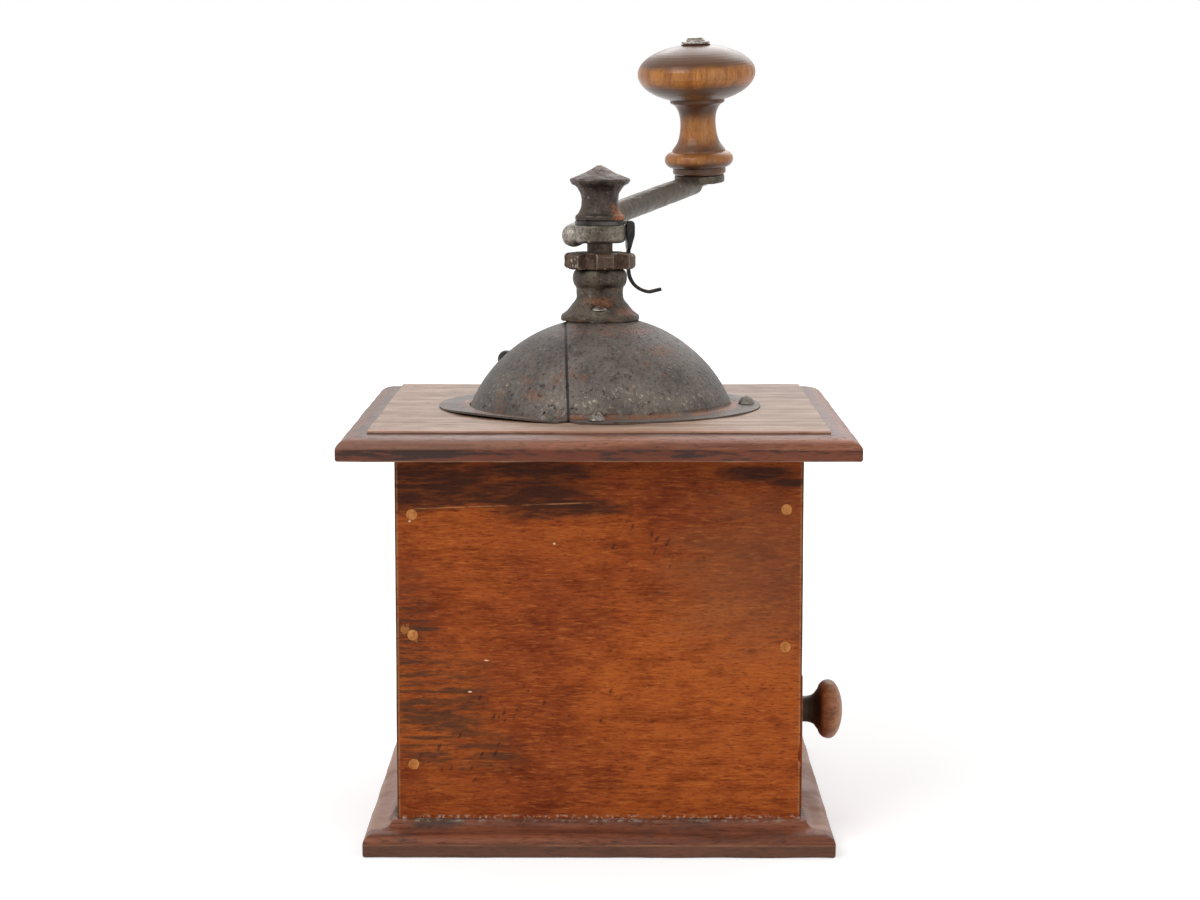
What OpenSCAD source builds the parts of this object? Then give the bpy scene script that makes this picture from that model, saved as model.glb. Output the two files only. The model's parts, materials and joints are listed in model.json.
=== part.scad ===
// Box coffee grinder. A wooden case with a drawer stands on a moulded base.
// A sheet dome over the top board holds the beans, and a crank on a vertical
// spindle turns a toothed cone inside a toothed ring under the top board.
// Millimetres. The origin is the middle of the base's underside, +Z is up,
// the drawer opens towards +X, and the near panel faces -Y.

/* [Case] */
// Width of the case, from the back panel's face to the front panel's face
case_w = 120; // [104:1:150]
// Depth of the case, over the near and far panels
case_d = 120; // [108:1:150]
// Height of the panels between the base board and the top board
panel_h = 109; // [100:1:130]
// Thickness of the near and far panels, which cover the ends of the others
side_t = 10; // [8:0.5:12]
// Thickness of the front and back panels
end_t = 10; // [8:0.5:12]
// Diameter of the wooden pegs
peg_d = 3.2; // [2.6:0.1:4]
// Length of the pegs
peg_l = 24; // [18:1:30]
// How far the peg ends stand out of the panel
peg_proud = 0.15; // [0:0.05:0.4]
// Depth of the worn finger notch beside the drawer knob
notch_deep = 1; // [0.4:0.1:2]
// Height of the worn finger notch
notch_h = 9; // [6:0.5:14]

/* [Base board] */
// Thickness of the base board
base_t = 9.5; // [8:0.5:14]
// How far the base board reaches beyond the case
base_reach = 9.7; // [8:0.1:14]
// Height of the base board's upright edge
base_nose_h = 4.1; // [3:0.1:6]
// Width of the flat ledge round the foot of the case
base_ledge = 1.6; // [0.8:0.1:3]
// Shank diameter of the screws that hold the base board
base_screw_d = 4; // [3:0.1:4.6]
// Length of the screws that hold the base board
base_screw_l = 26; // [20:1:36]

/* [Top board] */
// Thickness of the top board
board_t = 8; // [7:0.5:12]
// How far the top board reaches beyond the case
board_reach = 15.8; // [12:0.1:20]
// Height of the top board's upright edge
board_nose_h = 3.5; // [2.5:0.1:5]
// How far the flat top reaches beyond the case
board_flat = 7.2; // [4:0.1:10]
// Height of the small step where the moulding meets the flat top
board_quirk = 0.8; // [0.4:0.1:1.4]
// Radius of the hole in the top board, through which the beans fall
throat_r = 34; // [33:0.5:36]

/* [Hopper] */
// Thickness of the sheet steel
sheet_t = 0.6; // [0.5:0.1:1]
// Radius of the flat flange that is screwed to the top board
flange_r = 50.4; // [49.5:0.1:54]
// Radius of the dome where it meets the flange
dome_rim_r = 41.5; // [40.5:0.1:43]
// Height of the dome above its flange
dome_rise = 27.9; // [25:0.1:32]
// Radius of the bend between dome and flange
dome_fillet = 1.4; // [0.8:0.1:2]
// Where the fixed dome ends, measured from the spindle towards the back
seam_back = 9.2; // [6:0.1:11]
// Lean of the seam, in degrees
seam_lean = 3; // [0:0.5:4]
// Running clearance between the dome and the door under it
door_gap = 0.2; // [0.15:0.05:0.4]
// How far the closed door reaches under the fixed dome
door_lap = 5; // [3:0.5:5.5]
// Diameter of the button that moves the door
button_d = 5; // [4:0.1:7]
// Radius from the spindle to the button
button_r = 31; // [26:0.5:33]
// Direction of the button from the spindle, in degrees
button_az = 168; // [150:1:190]
// Radius of the ring of flange screws
flange_screw_r = 46; // [45:0.1:47]
// Head diameter of the flange screws
flange_screw_d = 5.2; // [4:0.1:6]

/* [Neck] */
// Radius of the neck's foot on the dome
foot_r = 12.3; // [12:0.1:13]
// Height of the neck's foot
foot_h = 6.4; // [5.4:0.1:8]
// Radius of the neck's straight part
neck_r = 7.25; // [6.8:0.05:8]
// Height of the neck's straight part
neck_h = 4.2; // [3:0.1:7]
// Radius of the ball that tops the neck
ball_r = 8.5; // [8:0.1:9]
// Height of the ball
ball_h = 5.6; // [5:0.1:7]
// Head diameter of the rivets that hold the neck
rivet_d = 5; // [4:0.1:5.4]
// Radius from the spindle to the neck's rivets
rivet_r = 9.3; // [9:0.1:9.6]

/* [Adjusting wheel] */
// Number of teeth on the wheel
wheel_teeth = 6; // [5:1:7]
// Radius over the teeth
wheel_r = 11.3; // [10.6:0.1:12.5]
// Radius of the rim between the teeth
wheel_rim_r = 8; // [7:0.1:8.1]
// Thickness of the wheel
wheel_h = 5.1; // [4.4:0.1:7]
// Width of a tooth
tooth_w = 5.4; // [4.6:0.1:5.4]
// Direction of one tooth, in degrees
wheel_phase = 39; // [30:1:60]
// Gap between the wheel and the top of the neck
wheel_gap = 0.2; // [0.1:0.05:0.4]

/* [Spindle] */
// Diameter of the spindle
spindle_d = 8; // [7:0.1:8.4]
// Running clearance on the spindle's radius
run_gap = 0.05; // [0.02:0.01:0.1]
// Side of the spindle's squares, in the hub and in the toothed cone
square_w = 6; // [5.4:0.1:6.2]
// Diameter of the thread above the hub and of the journal under the cone
thread_d = 5.4; // [4.4:0.1:5.4]

/* [Crank] */
// Gap between the wheel and the hub, where the spindle's thread shows
hub_gap = 2.9; // [2:0.1:5]
// Radius of the hub
hub_r = 8.05; // [7.8:0.05:8.4]
// Height of the hub
hub_h = 5.7; // [5:0.1:7]
// Diameter of the round bar
bar_d = 7.4; // [6.6:0.1:7.8]
// Distance from the spindle's axis to the bar's axis
bar_side = 8.4; // [8.2:0.1:9]
// How far the bar's round end reaches back past the spindle
bar_tail = 1.6; // [0.5:0.1:3]
// Height of the bar's axis over the hub's underside, beside the spindle
bar_lift = 2.5; // [2.3:0.1:3]
// Length of the steeper root of the bar
root_l = 34.7; // [28:0.1:42]
// Rise of the steeper root, in degrees
root_rise = 10; // [8:0.5:11]
// Rise of the rest of the bar, in degrees
arm_rise = 7; // [4:0.5:8]
// Length from the spindle to the handle, along the bar
crank_l = 100.4; // [85:0.1:120]
// Direction of the bar, in degrees
crank_az = 65.4; // [45:0.1:120]
// Diameter of the flattened eye under the handle
eye_d = 17.4; // [15:0.1:20]
// Thickness of the flattened eye
eye_t = 2.8; // [2.2:0.1:3.4]
// How far the eye's top lies over the bar's axis
eye_lift = 2.4; // [1.8:0.1:3]
// Lean of the handle towards the spindle, in degrees
handle_lean = 5; // [3:0.5:7]

/* [Finial nut] */
// Height of the finial nut without its point
finial_h = 12.4; // [10:0.1:16]
// Height of the finial's point
finial_tip = 4.8; // [3:0.1:7]
// Radius of the finial's rim
finial_rim_r = 9.4; // [8.4:0.1:11]
// Radius of the finial's waist
finial_waist_r = 5.7; // [5:0.1:6.6]
// Radius of the finial's foot
finial_foot_r = 7.7; // [7:0.1:7.9]

/* [Spring clip] */
// Thickness of the clip's eye
clip_t = 1.2; // [1:0.1:1.6]
// Thickness of the clip's thin leaf
leaf_t = 1.1; // [0.9:0.1:1.2]
// Gap on each side of the leaf, where it stands between two teeth
leaf_play = 0.6; // [0.3:0.1:0.8]
// Width of the leaf's root beside the hub
leaf_root_w = 4.4; // [3.6:0.1:6]
// Thickness of the leaf's root
leaf_root_t = 2.6; // [2:0.1:3.2]
// Radius of the bend that leads to the finger tab
tail_r = 7.6; // [6:0.1:9]
// Length of the finger tab
tab_l = 3.6; // [2.5:0.1:6]

/* [Handle] */
// Diameter of the handle's head
head_d = 40.6; // [36:0.1:46]
// Height of the handle's head
head_h = 18.9; // [16:0.1:22]
// Diameter of the step under the head
step_d = 18.8; // [17:0.1:21]
// Diameter of the handle's waist
waist_d = 12.2; // [11.4:0.1:14]
// Height of the stem, from the ring to the head
stem_h = 17.2; // [14:0.1:22]
// Diameter of the bead over the handle's foot
bead_d = 23.7; // [21:0.1:26]
// Height of the bead
bead_h = 6.2; // [5:0.1:8]
// Diameter of the handle's foot ring
foot_ring_d = 18.3; // [17:0.1:20]
// Height of the handle's foot ring
foot_ring_h = 2.3; // [1.6:0.1:3.4]
// Diameter of the handle's axle
axle_d = 5; // [4:0.1:6]
// End play between the handle and what holds it
handle_gap = 0.2; // [0.1:0.05:0.3]

/* [Drawer] */
// Height of the drawer's opening
drawer_open_h = 41.5; // [36:0.5:48]
// Clearance beside and under the drawer
drawer_fit = 0.3; // [0.2:0.1:0.6]
// Clearance over the drawer's front
drawer_top_gap = 0.6; // [0.3:0.1:1.5]
// How far the drawer's front stands proud of the case
drawer_proud = 1; // [0:0.1:2]
// Thickness of the drawer's front
drawer_front_t = 10; // [8:0.5:12]
// Thickness of the drawer's sides and back
drawer_wall = 6; // [5:0.5:8]
// Thickness of the drawer's bottom
drawer_floor = 3; // [2:0.5:4]
// How much lower the drawer's sides are than its front
drawer_drop = 4; // [2:0.5:8]
// Height of the drawer knob's axis over the base board
knob_z = 19.7; // [16:0.1:24]
// Diameter of the drawer knob's head
knob_d = 18.8; // [16:0.1:22]
// Thickness of the drawer knob's head
knob_h = 7.8; // [6:0.1:10]
// Length of the drawer knob's stem
knob_stem_l = 8.5; // [6:0.1:12]
// Diameter of the drawer knob's stem
knob_stem_d = 8.2; // [7:0.1:10]
// Diameter of the drawer knob's tenon
knob_tenon_d = 6; // [5:0.1:6.5]

/* [Burrs] */
// Height of the toothed ring, flange included
ring_h = 28; // [26:0.5:34]
// Height of the grinding teeth
grind_h = 13; // [10:0.5:15]
// Radius over the cone's teeth at the bottom
cone_r = 15.8; // [14.5:0.1:16.5]
// Radius over the cone's teeth at the top
cone_top_r = 12.6; // [11.5:0.1:13.5]
// Gap between the teeth of cone and ring
burr_gap = 0.6; // [0.5:0.05:1]
// Depth of the grinding teeth
tooth_deep = 1; // [0.7:0.1:1.3]
// Number of grinding teeth on the cone
cone_teeth = 20; // [14:1:26]
// Number of grinding teeth on the ring
ring_teeth = 24; // [16:1:30]
// Height of the cone's breaker ribs
breaker_h = 10; // [7:0.5:12]
// Number of breaker ribs
breaker_ribs = 3; // [2:1:4]
// Thickness of the ring's wall
ring_wall = 4.4; // [4:0.1:6]
// Radius of the ring's flange
ring_flange_r = 41; // [40:0.5:43]
// Thickness of the ring's flange
ring_flange_t = 3; // [2.5:0.1:4]
// Radius of the funnel at its mouth
mouth_r = 31; // [28:0.5:32]
// Depth of the bridge under the ring
bridge_h = 12; // [11:0.5:16]
// Thickness of the bridge's bar
bridge_t = 3.5; // [3:0.1:5]
// Width of the bridge's bar
bridge_w = 10; // [8:0.5:12]

/* [Hidden] */
$fn = 64;

// Cuts reach this far past the faces that they open
over = 1;

// Heights of the case
z_panel = base_t;
z_board = z_panel + panel_h;
z_board_top = z_board + board_t;
near_y = -case_d / 2;
front_x = case_w / 2;
inside_d = case_d - 2 * side_t;

// Pegs go through the side panels into the ends of the front and back panels
peg_x = case_w / 2 - end_t / 2;
back_peg_z = [16.5, 55.5, 91.5];
front_peg_z = [52, 93];
base_head_d = base_screw_d * 1.9;
base_screw_sink = 0.4;

// The dome is a ball cap that meets its flange at dome_rim_r
z_flange = z_board_top + sheet_t;
dome_r = (pow(dome_rim_r, 2) + pow(dome_rise, 2)) / (2 * dome_rise);
z_dome = z_flange + dome_rise - dome_r;
door_r = dome_r - sheet_t - door_gap;
door_foot_gap = 0.3;
door_hole_r = rivet_r + 2.2;
button_h = 1.5;
screw_az = [-110.5, -91, 0, 91, 110.5];

// Neck and spindle
z_foot = z_dome + sqrt(pow(dome_r, 2) - pow(foot_r, 2));
z_neck = z_foot + foot_h;
z_ball = z_neck + neck_h;
z_neck_top = z_ball + ball_h;
spigot_r = 6;
spigot_l = 4;
z_spigot = z_dome + dome_r - sheet_t - spigot_l;
z_rivet = z_foot + foot_h * 0.62;
z_rivet_tail = z_foot - sheet_t - 1.6;
rivet_head_h = 1.2;
rivet_shank_d = 2.6;
z_wheel = z_neck_top + wheel_gap;
z_wheel_top = z_wheel + wheel_h;
z_hub = z_wheel_top + hub_gap;
z_hub_top = z_hub + hub_h;
z_finial = z_hub_top + clip_t;
bore_r = spindle_d / 2 + run_gap;

// Crank
z_bar = z_hub + bar_lift;
z_bend = z_bar + root_l * tan(root_rise);
z_pivot = z_bend + (crank_l - root_l) * tan(arm_rise) + eye_lift;
bar_end_gap = 5;
// The hub's top is faced flat this far past the hub, to clear the clip's eye
hub_face_gap = 0.2;

// Handle, along its own axis from the eye's top
bead_z = handle_gap + foot_ring_h;
stem_z = bead_z + bead_h;
head_z = stem_z + stem_h;
handle_top = head_z + head_h;
washer_t = 0.8;
washer_d = 9.6;
axle_head_h = 1.3;
axle_head_d = axle_d + 2;
axle_tail_h = 1.1;
axle_tail_d = axle_d + 1.4;

// Spring clip, which stands between two teeth of the wheel
clip_az = wheel_phase - 180 / wheel_teeth;
leaf_in = wheel_rim_r + 0.5;
leaf_w = 2 * (leaf_in * tan(180 / wheel_teeth) - tooth_w / 2 / cos(180 / wheel_teeth) - leaf_play);
root_in = hub_r + 0.15;
hinge_x = root_in + leaf_root_t / 2;
hinge_z = z_finial - leaf_root_t / 2;
// How far the crank sinks towards the wheel at the finest grind
grind_travel = 0.6;
z_root = z_wheel_top + grind_travel + 0.3;
z_leaf = z_wheel - 0.4;
lug_r = leaf_root_t / 2 + 0.15;

// Drawer
drawer_w = inside_d - 2 * drawer_fit;
z_drawer = z_panel + drawer_fit;
drawer_front_h = drawer_open_h - drawer_fit - drawer_top_gap;
drawer_side_h = drawer_front_h - drawer_drop;
drawer_x = front_x + drawer_proud;
drawer_back_x = -case_w / 2 + end_t + drawer_fit;
drawer_in_x = drawer_x - drawer_front_t;
groove = 2;
floor_lift = 3;
rebate = 5;
z_knob = z_panel + knob_z;
nail_d = 1.4;
nail_l = 15;

// Burrs
z_ring = z_board - ring_h;
z_throat = z_ring + grind_h;
ring_in_r = cone_r + burr_gap;
ring_top_r = cone_top_r + burr_gap;
ring_out_r = ring_in_r + tooth_deep + ring_wall;
z_cone = z_ring;
z_cone_top = z_throat + breaker_h;
nut_h = 4;
z_bridge = z_ring - bridge_h;
post_r = (ring_in_r + tooth_deep + ring_out_r) / 2;
ring_screw_r = (throat_r + ring_flange_r) / 2;
ring_screw_d = 3;
ring_head_d = 5.7;
ring_screw_l = ring_flange_t + board_t * 0.8;
bridge_screw_d = 2.6;
bridge_head_d = 4.4;
bridge_screw_l = bridge_h + 10;
z_spindle = z_bridge - 1.5;
z_spindle_top = z_finial + finial_h - 2;

// Points on an arc of an ellipse, from angle a to angle b
function arc(x, z, rx, rz, a, b, n = 8) =
    [for (i = [0:n]) let (t = a + (b - a) * i / n) [x + rx * cos(t), z + rz * sin(t)]];

// A closed outline from the right-hand edge of a board and its mirror image
function both_sides(edge) =
    concat(edge, [for (i = [len(edge) - 1:-1:0]) [-edge[i][0], edge[i][1]]]);

// Saw teeth round a circle, two points a tooth
function saw(n, tip, root) =
    [for (i = [0:n - 1], j = [0, 1])
        let (a = 360 / n * (i + 0.7 * j), r = j == 0 ? tip : root)
        [r * cos(a), r * sin(a)]];

// A board with the same moulded edge on its four sides and mitred corners
module moulded_board(w, d, edge_w, edge_d) {
    intersection() {
        rotate([90, 0, 0]) linear_extrude(d, center = true) polygon(both_sides(edge_w));
        rotate([90, 0, 90]) linear_extrude(w, center = true) polygon(both_sides(edge_d));
    }
}

// Edge of the base board: a rounded upright nose and an ogee up to the ledge
function base_edge(half) =
    let (
        out = half + base_reach,
        flat = half + base_ledge,
        rise = base_t - base_nose_h,
        mid = (out + flat) / 2)
    concat(
        arc(out - 1, 1, 1, 1, -90, 0, 4),
        arc(mid, base_nose_h, out - mid, rise / 2, 0, 90, 6),
        arc(mid, base_t, mid - flat, rise / 2, 270, 180, 6));

// Edge of the top board: a rounded upright nose, a round moulding, a small step
function board_edge(half) =
    let (
        out = half + board_reach,
        flat = half + board_flat,
        rise = board_t - board_quirk - board_nose_h)
    concat(
        arc(out - 0.9, 0.9, 0.9, 0.9, -90, 0, 4),
        arc(flat, board_nose_h, out - flat, rise, 0, 90, 10),
        [[flat, board_t]]);

// A countersunk screw, head down, with a straight slot
module sunk_screw(shank_d, head_d, l) {
    head_h = (head_d - shank_d) / 2;
    difference() {
        union() {
            cylinder(d1 = head_d, d2 = shank_d, h = head_h);
            cylinder(d = shank_d, h = l - shank_d);
            translate([0, 0, l - shank_d]) cylinder(d1 = shank_d, d2 = 0.6, h = shank_d);
        }
        translate([-head_d, -0.4, -over]) cube([2 * head_d, 0.8, over + 0.7]);
    }
}

// The hole that a sunk screw fills
module sunk_hole(shank_d, head_d, l) {
    head_h = (head_d - shank_d) / 2;
    translate([0, 0, -over]) cylinder(d = head_d, h = over);
    cylinder(d1 = head_d, d2 = shank_d, h = head_h);
    cylinder(d = shank_d, h = l - shank_d);
    translate([0, 0, l - shank_d]) cylinder(d1 = shank_d, d2 = 0.6, h = shank_d);
}

// Places of the base screws, head down at the underside
module at_base_screws() {
    for (x = [-1, 1], y = [-1, 1])
        translate([x * case_w * 0.3, y * (case_d - side_t) / 2, base_screw_sink]) children();
}

// Places of the pegs: near and far panel, back and front edge
module at_pegs(side) {
    for (z = back_peg_z)
        translate([-peg_x, side * (case_d / 2 + peg_proud), z_panel + z])
            rotate([side * 90, 0, 0]) children();
    for (z = front_peg_z)
        translate([peg_x, side * (case_d / 2 + peg_proud), z_panel + z])
            rotate([side * 90, 0, 0]) children();
}

module peg_shape() {
    cylinder(d = peg_d, h = peg_l);
}

module base_board() {
    color("saddlebrown") difference() {
        moulded_board(
            case_w + 2 * base_reach, case_d + 2 * base_reach,
            base_edge(case_w / 2), base_edge(case_d / 2));
        at_base_screws() sunk_hole(base_screw_d, base_head_d, base_screw_l);
        at_base_screws() translate([0, 0, -base_screw_sink - over])
            cylinder(d = base_head_d, h = base_screw_sink + over);
    }
}

// A side panel with its peg holes, on the near side (-1) or the far side (1)
module side_panel(side) {
    difference() {
        translate([-case_w / 2, side > 0 ? case_d / 2 - side_t : -case_d / 2, z_panel])
            cube([case_w, side_t, panel_h]);
        at_pegs(side) peg_shape();
        at_base_screws() sunk_hole(base_screw_d, base_head_d, base_screw_l);
        children();
    }
}

module near_panel() {
    color("chocolate") side_panel(-1)
        translate([front_x - notch_deep, near_y - over, z_knob])
            translate([notch_h, 0, 0]) rotate([-90, 0, 0])
                cylinder(r = notch_h, h = side_t * 0.6 + over);
}

module far_panel() {
    color("chocolate") side_panel(1);
}

module back_panel() {
    color("sienna") difference() {
        translate([-case_w / 2, -inside_d / 2, z_panel]) cube([end_t, inside_d, panel_h]);
        for (side = [-1, 1]) at_pegs(side) peg_shape();
    }
}

module front_panel() {
    color("sienna") difference() {
        translate([case_w / 2 - end_t, -inside_d / 2, z_panel + drawer_open_h])
            cube([end_t, inside_d, panel_h - drawer_open_h]);
        for (side = [-1, 1]) at_pegs(side) peg_shape();
    }
}

module top_board() {
    color("rosybrown") difference() {
        translate([0, 0, z_board]) moulded_board(
            case_w + 2 * board_reach, case_d + 2 * board_reach,
            board_edge(case_w / 2), board_edge(case_d / 2));
        translate([0, 0, z_board - over]) cylinder(r = throat_r, h = board_t + 2 * over);
        at_flange_screws(screw_az) flange_screw_shank();
        at_ring_screws() ring_screw_shank();
    }
}

module panel_pegs() {
    color("peru") for (side = [-1, 1]) at_pegs(side) peg_shape();
}

module base_screws() {
    color("dimgray") at_base_screws() sunk_screw(base_screw_d, base_head_d, base_screw_l);
}

// Space on the door's side of the seam, moved by shift towards the front
module seam_side(shift) {
    translate([-seam_back + shift, 0, z_flange]) rotate([0, -seam_lean, 0])
        translate([-2 * flange_r, -2 * flange_r, -flange_r])
            cube([2 * flange_r, 4 * flange_r, 3 * flange_r]);
}

// Half section of the dome with its flange and the bend between them
module dome_section() {
    bend_x = sqrt(pow(dome_r + dome_fillet, 2) - pow(z_flange + dome_fillet - z_dome, 2));
    difference() {
        union() {
            intersection() {
                translate([0, z_dome]) circle(dome_r, $fn = 180);
                translate([0, z_board_top]) square([dome_rim_r + over, dome_rise + 2 * sheet_t]);
            }
            translate([dome_rim_r - 2, z_board_top]) square([flange_r - dome_rim_r + 2, sheet_t]);
            difference() {
                translate([dome_rim_r - 2, z_flange]) square([bend_x - dome_rim_r + 2, dome_fillet]);
                translate([bend_x, z_flange + dome_fillet]) circle(dome_fillet);
            }
        }
        translate([0, z_dome]) circle(dome_r - sheet_t, $fn = 180);
    }
}

// Places of the flange screws in the given directions
module at_flange_screws(directions) {
    for (a = directions) rotate([0, 0, a]) translate([flange_screw_r, 0, 0]) children();
}

module flange_screw_shank() {
    translate([0, 0, z_flange - 7]) cylinder(d = flange_screw_d * 0.5, h = 7 + over);
}

// Places of the rivets that hold the neck, front and back
module at_rivets() {
    for (y = [-1, 1]) translate([0, y * rivet_r, 0]) children();
}

// A rivet's shank, from its tail under the dome up through the neck's foot
module rivet_shank() {
    translate([0, 0, z_rivet_tail]) cylinder(d = rivet_shank_d, h = z_neck - z_rivet_tail);
}

module hopper_dome() {
    color("dimgray") difference() {
        rotate_extrude($fn = 180) dome_section();
        seam_side(0);
        translate([0, 0, z_dome]) cylinder(r = spigot_r, h = dome_r + over);
        at_flange_screws(screw_az) flange_screw_shank();
        at_rivets() rivet_shank();
    }
}

module hopper_rim() {
    color("slategray") difference() {
        intersection() {
            translate([0, 0, z_board_top]) cylinder(r = flange_r, h = sheet_t, $fn = 180);
            seam_side(-0.1);
        }
        translate([0, 0, z_board_top - over]) cylinder(r = dome_rim_r - sheet_t + 0.1, h = 3 * over, $fn = 180);
        at_flange_screws(screw_az) flange_screw_shank();
    }
}

// A rounded head of diameter d and height h, which stands on z = 0
module round_head(d, h) {
    cap_r = (pow(d / 2, 2) + pow(h, 2)) / (2 * h);
    intersection() {
        translate([0, 0, h - cap_r]) sphere(cap_r);
        cylinder(d = d, h = h);
    }
}

module flange_screws() {
    head_h = flange_screw_d * 0.3;
    color("gray") at_flange_screws(screw_az) difference() {
        union() {
            flange_screw_shank();
            translate([0, 0, z_flange]) round_head(flange_screw_d, head_h);
        }
        translate([-flange_screw_d, -0.35, z_flange + head_h - 0.6]) cube([2 * flange_screw_d, 0.7, over]);
    }
}

// Half outline of the neck, from its foot up
neck_outline = concat(
    [[0, z_foot - 4], [foot_r - 0.4, z_foot - 4], [foot_r - 0.4, z_foot]],
    [[foot_r, z_foot + 0.6]],
    arc(neck_r + 1.4, z_foot + foot_h * 0.3, foot_r - neck_r - 1.4, foot_h * 0.45, 0, 90, 7),
    arc(neck_r + 1.4, z_neck, 1.4, foot_h * 0.25, 270, 180, 4),
    [[neck_r, z_ball]],
    arc(neck_r - 0.3, z_ball + ball_h * 0.52, ball_r - neck_r + 0.3, ball_h * 0.5, -80, 60, 9),
    [[neck_r, z_neck_top], [0, z_neck_top]]);

module neck() {
    color("darkslategray") difference() {
        union() {
            difference() {
                rotate_extrude() polygon(neck_outline);
                translate([0, 0, z_dome]) sphere(dome_r, $fn = 180);
            }
            translate([0, 0, z_spigot]) cylinder(r = spigot_r, h = z_neck - z_spigot);
        }
        translate([0, 0, z_spigot - over]) cylinder(r = bore_r, h = z_neck_top - z_spigot + 2 * over);
        at_rivets() rivet_shank();
        at_rivets() translate([0, 0, z_rivet]) cylinder(d = rivet_d + 0.6, h = foot_h);
    }
}

module neck_rivets() {
    color("gray") at_rivets() {
        translate([0, 0, z_rivet]) round_head(rivet_d, rivet_head_h);
        intersection() {
            rivet_shank();
            cylinder(d = rivet_d, h = z_rivet + rivet_head_h / 2);
        }
    }
}

// Places of the screws that hold the toothed ring under the top board
module at_ring_screws() {
    for (a = [45:90:315]) rotate([0, 0, a]) translate([ring_screw_r, 0, z_board - ring_flange_t]) children();
}

module ring_screw_shank() {
    sunk_hole(ring_screw_d, ring_head_d, ring_screw_l);
}

// Places of the screws that hold the bridge under the toothed ring
module at_bridge_screws() {
    for (x = [-1, 1]) translate([x * post_r, 0, z_bridge]) children();
}

module outer_burr() {
    wall_top = z_throat + 1;
    funnel_top = z_board - ring_flange_t;
    outline = [
        [0, z_ring], [ring_out_r, z_ring], [ring_out_r, wall_top],
        [mouth_r + 2.4, funnel_top], [ring_flange_r, funnel_top],
        [ring_flange_r, z_board], [0, z_board]];
    color("#3a3a3c") difference() {
        rotate_extrude() polygon(outline);
        translate([0, 0, z_ring - 0.01]) linear_extrude(
            grind_h + 0.02, twist = 18, scale = ring_top_r / ring_in_r, slices = 4)
            polygon(saw(ring_teeth, ring_in_r, ring_in_r + tooth_deep));
        translate([0, 0, z_throat]) cylinder(r1 = ring_top_r + 0.4, r2 = mouth_r, h = z_board - z_throat);
        translate([0, 0, z_board]) cylinder(r = mouth_r, h = over);
        translate([0, 0, z_ring + over]) cylinder(r = ring_top_r, h = ring_h);
        at_ring_screws() ring_screw_shank();
        at_bridge_screws() sunk_hole(bridge_screw_d, bridge_head_d, bridge_screw_l);
    }
}

module burr_screws() {
    color("gray") at_ring_screws() sunk_screw(ring_screw_d, ring_head_d, ring_screw_l);
}

module lower_bridge() {
    post = 2 * (ring_out_r - post_r);
    color("#444448") difference() {
        union() {
            translate([-ring_out_r, -bridge_w / 2, z_bridge]) cube([2 * ring_out_r, bridge_w, bridge_t]);
            translate([0, 0, z_bridge]) cylinder(r = bridge_w / 2 + 1, h = bridge_t);
            for (x = [-1, 1])
                translate([x * post_r - post / 2, -bridge_w / 2, z_bridge]) cube([post, bridge_w, bridge_h]);
        }
        translate([0, 0, z_bridge - over]) cylinder(d = thread_d + 2 * run_gap, h = bridge_t + 2 * over);
        at_bridge_screws() sunk_hole(bridge_screw_d, bridge_head_d, bridge_screw_l);
    }
}

module bridge_screws() {
    color("gray") at_bridge_screws() sunk_screw(bridge_screw_d, bridge_head_d, bridge_screw_l);
}

module hopper_door() {
    color("slategray") difference() {
        translate([0, 0, z_dome]) sphere(door_r, $fn = 180);
        translate([0, 0, z_dome]) sphere(door_r - sheet_t, $fn = 180);
        translate([-2 * door_r, -2 * door_r, z_dome - 2 * door_r])
            cube([4 * door_r, 4 * door_r, z_board_top + door_foot_gap - z_dome + 2 * door_r]);
        translate([0, 0, z_dome]) cylinder(r = door_hole_r, h = dome_r + over);
        difference() {
            translate([-2 * door_r, -2 * door_r, z_board]) cube(4 * door_r);
            seam_side(door_lap);
        }
        at_button() translate([0, 0, -3]) cylinder(d = button_d * 0.4, h = 6);
    }
}

// Place of the door's button, square to the dome
module at_button() {
    tilt = asin(button_r / door_r);
    rotate([0, 0, button_az]) translate([0, 0, z_dome]) rotate([0, tilt, 0]) translate([0, 0, door_r])
        children();
}

module door_button() {
    color("black") at_button() {
        translate([0, 0, -sheet_t - 0.8]) cylinder(d = button_d * 0.4, h = sheet_t + 1.6);
        translate([0, 0, 0.2]) round_head(button_d, button_h);
    }
}

module drawer_front() {
    color("chocolate") difference() {
        translate([drawer_in_x, -drawer_w / 2, z_drawer]) cube([drawer_front_t, drawer_w, drawer_front_h]);
        translate([drawer_in_x - over, 0, z_knob]) rotate([0, 90, 0])
            cylinder(d = knob_tenon_d, h = drawer_front_t + 2 * over);
        for (side = [-1, 1]) drawer_side(side);
        drawer_floor_shape();
        drawer_nail_set();
    }
}

// The drawer's bottom board, which sits in grooves round the inside
module drawer_floor_shape() {
    translate([drawer_back_x + drawer_wall - groove, -drawer_w / 2 + drawer_wall - groove, z_drawer + floor_lift])
        cube([
            drawer_in_x - drawer_back_x - drawer_wall + 2 * groove,
            drawer_w - 2 * drawer_wall + 2 * groove,
            drawer_floor]);
}

// Nails through the drawer's sides into its back and into the rebates of its front
module drawer_nail_set() {
    for (x = [drawer_back_x + drawer_wall / 2, drawer_in_x + rebate / 2], side = [-1, 1], z = [0.3, 0.75])
        translate([x, side * drawer_w / 2, z_drawer + z * drawer_side_h])
            rotate([side * 90, 0, 0]) cylinder(d = nail_d, h = nail_l, $fn = 24);
}

module drawer_side(side) {
    y0 = side > 0 ? drawer_w / 2 - drawer_wall : -drawer_w / 2;
    translate([drawer_back_x, y0, z_drawer])
        cube([drawer_in_x + rebate - drawer_back_x, drawer_wall, drawer_side_h]);
}

module drawer_near_side() {
    color("burlywood") difference() {
        drawer_side(-1);
        drawer_floor_shape();
        drawer_nail_set();
    }
}

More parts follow.
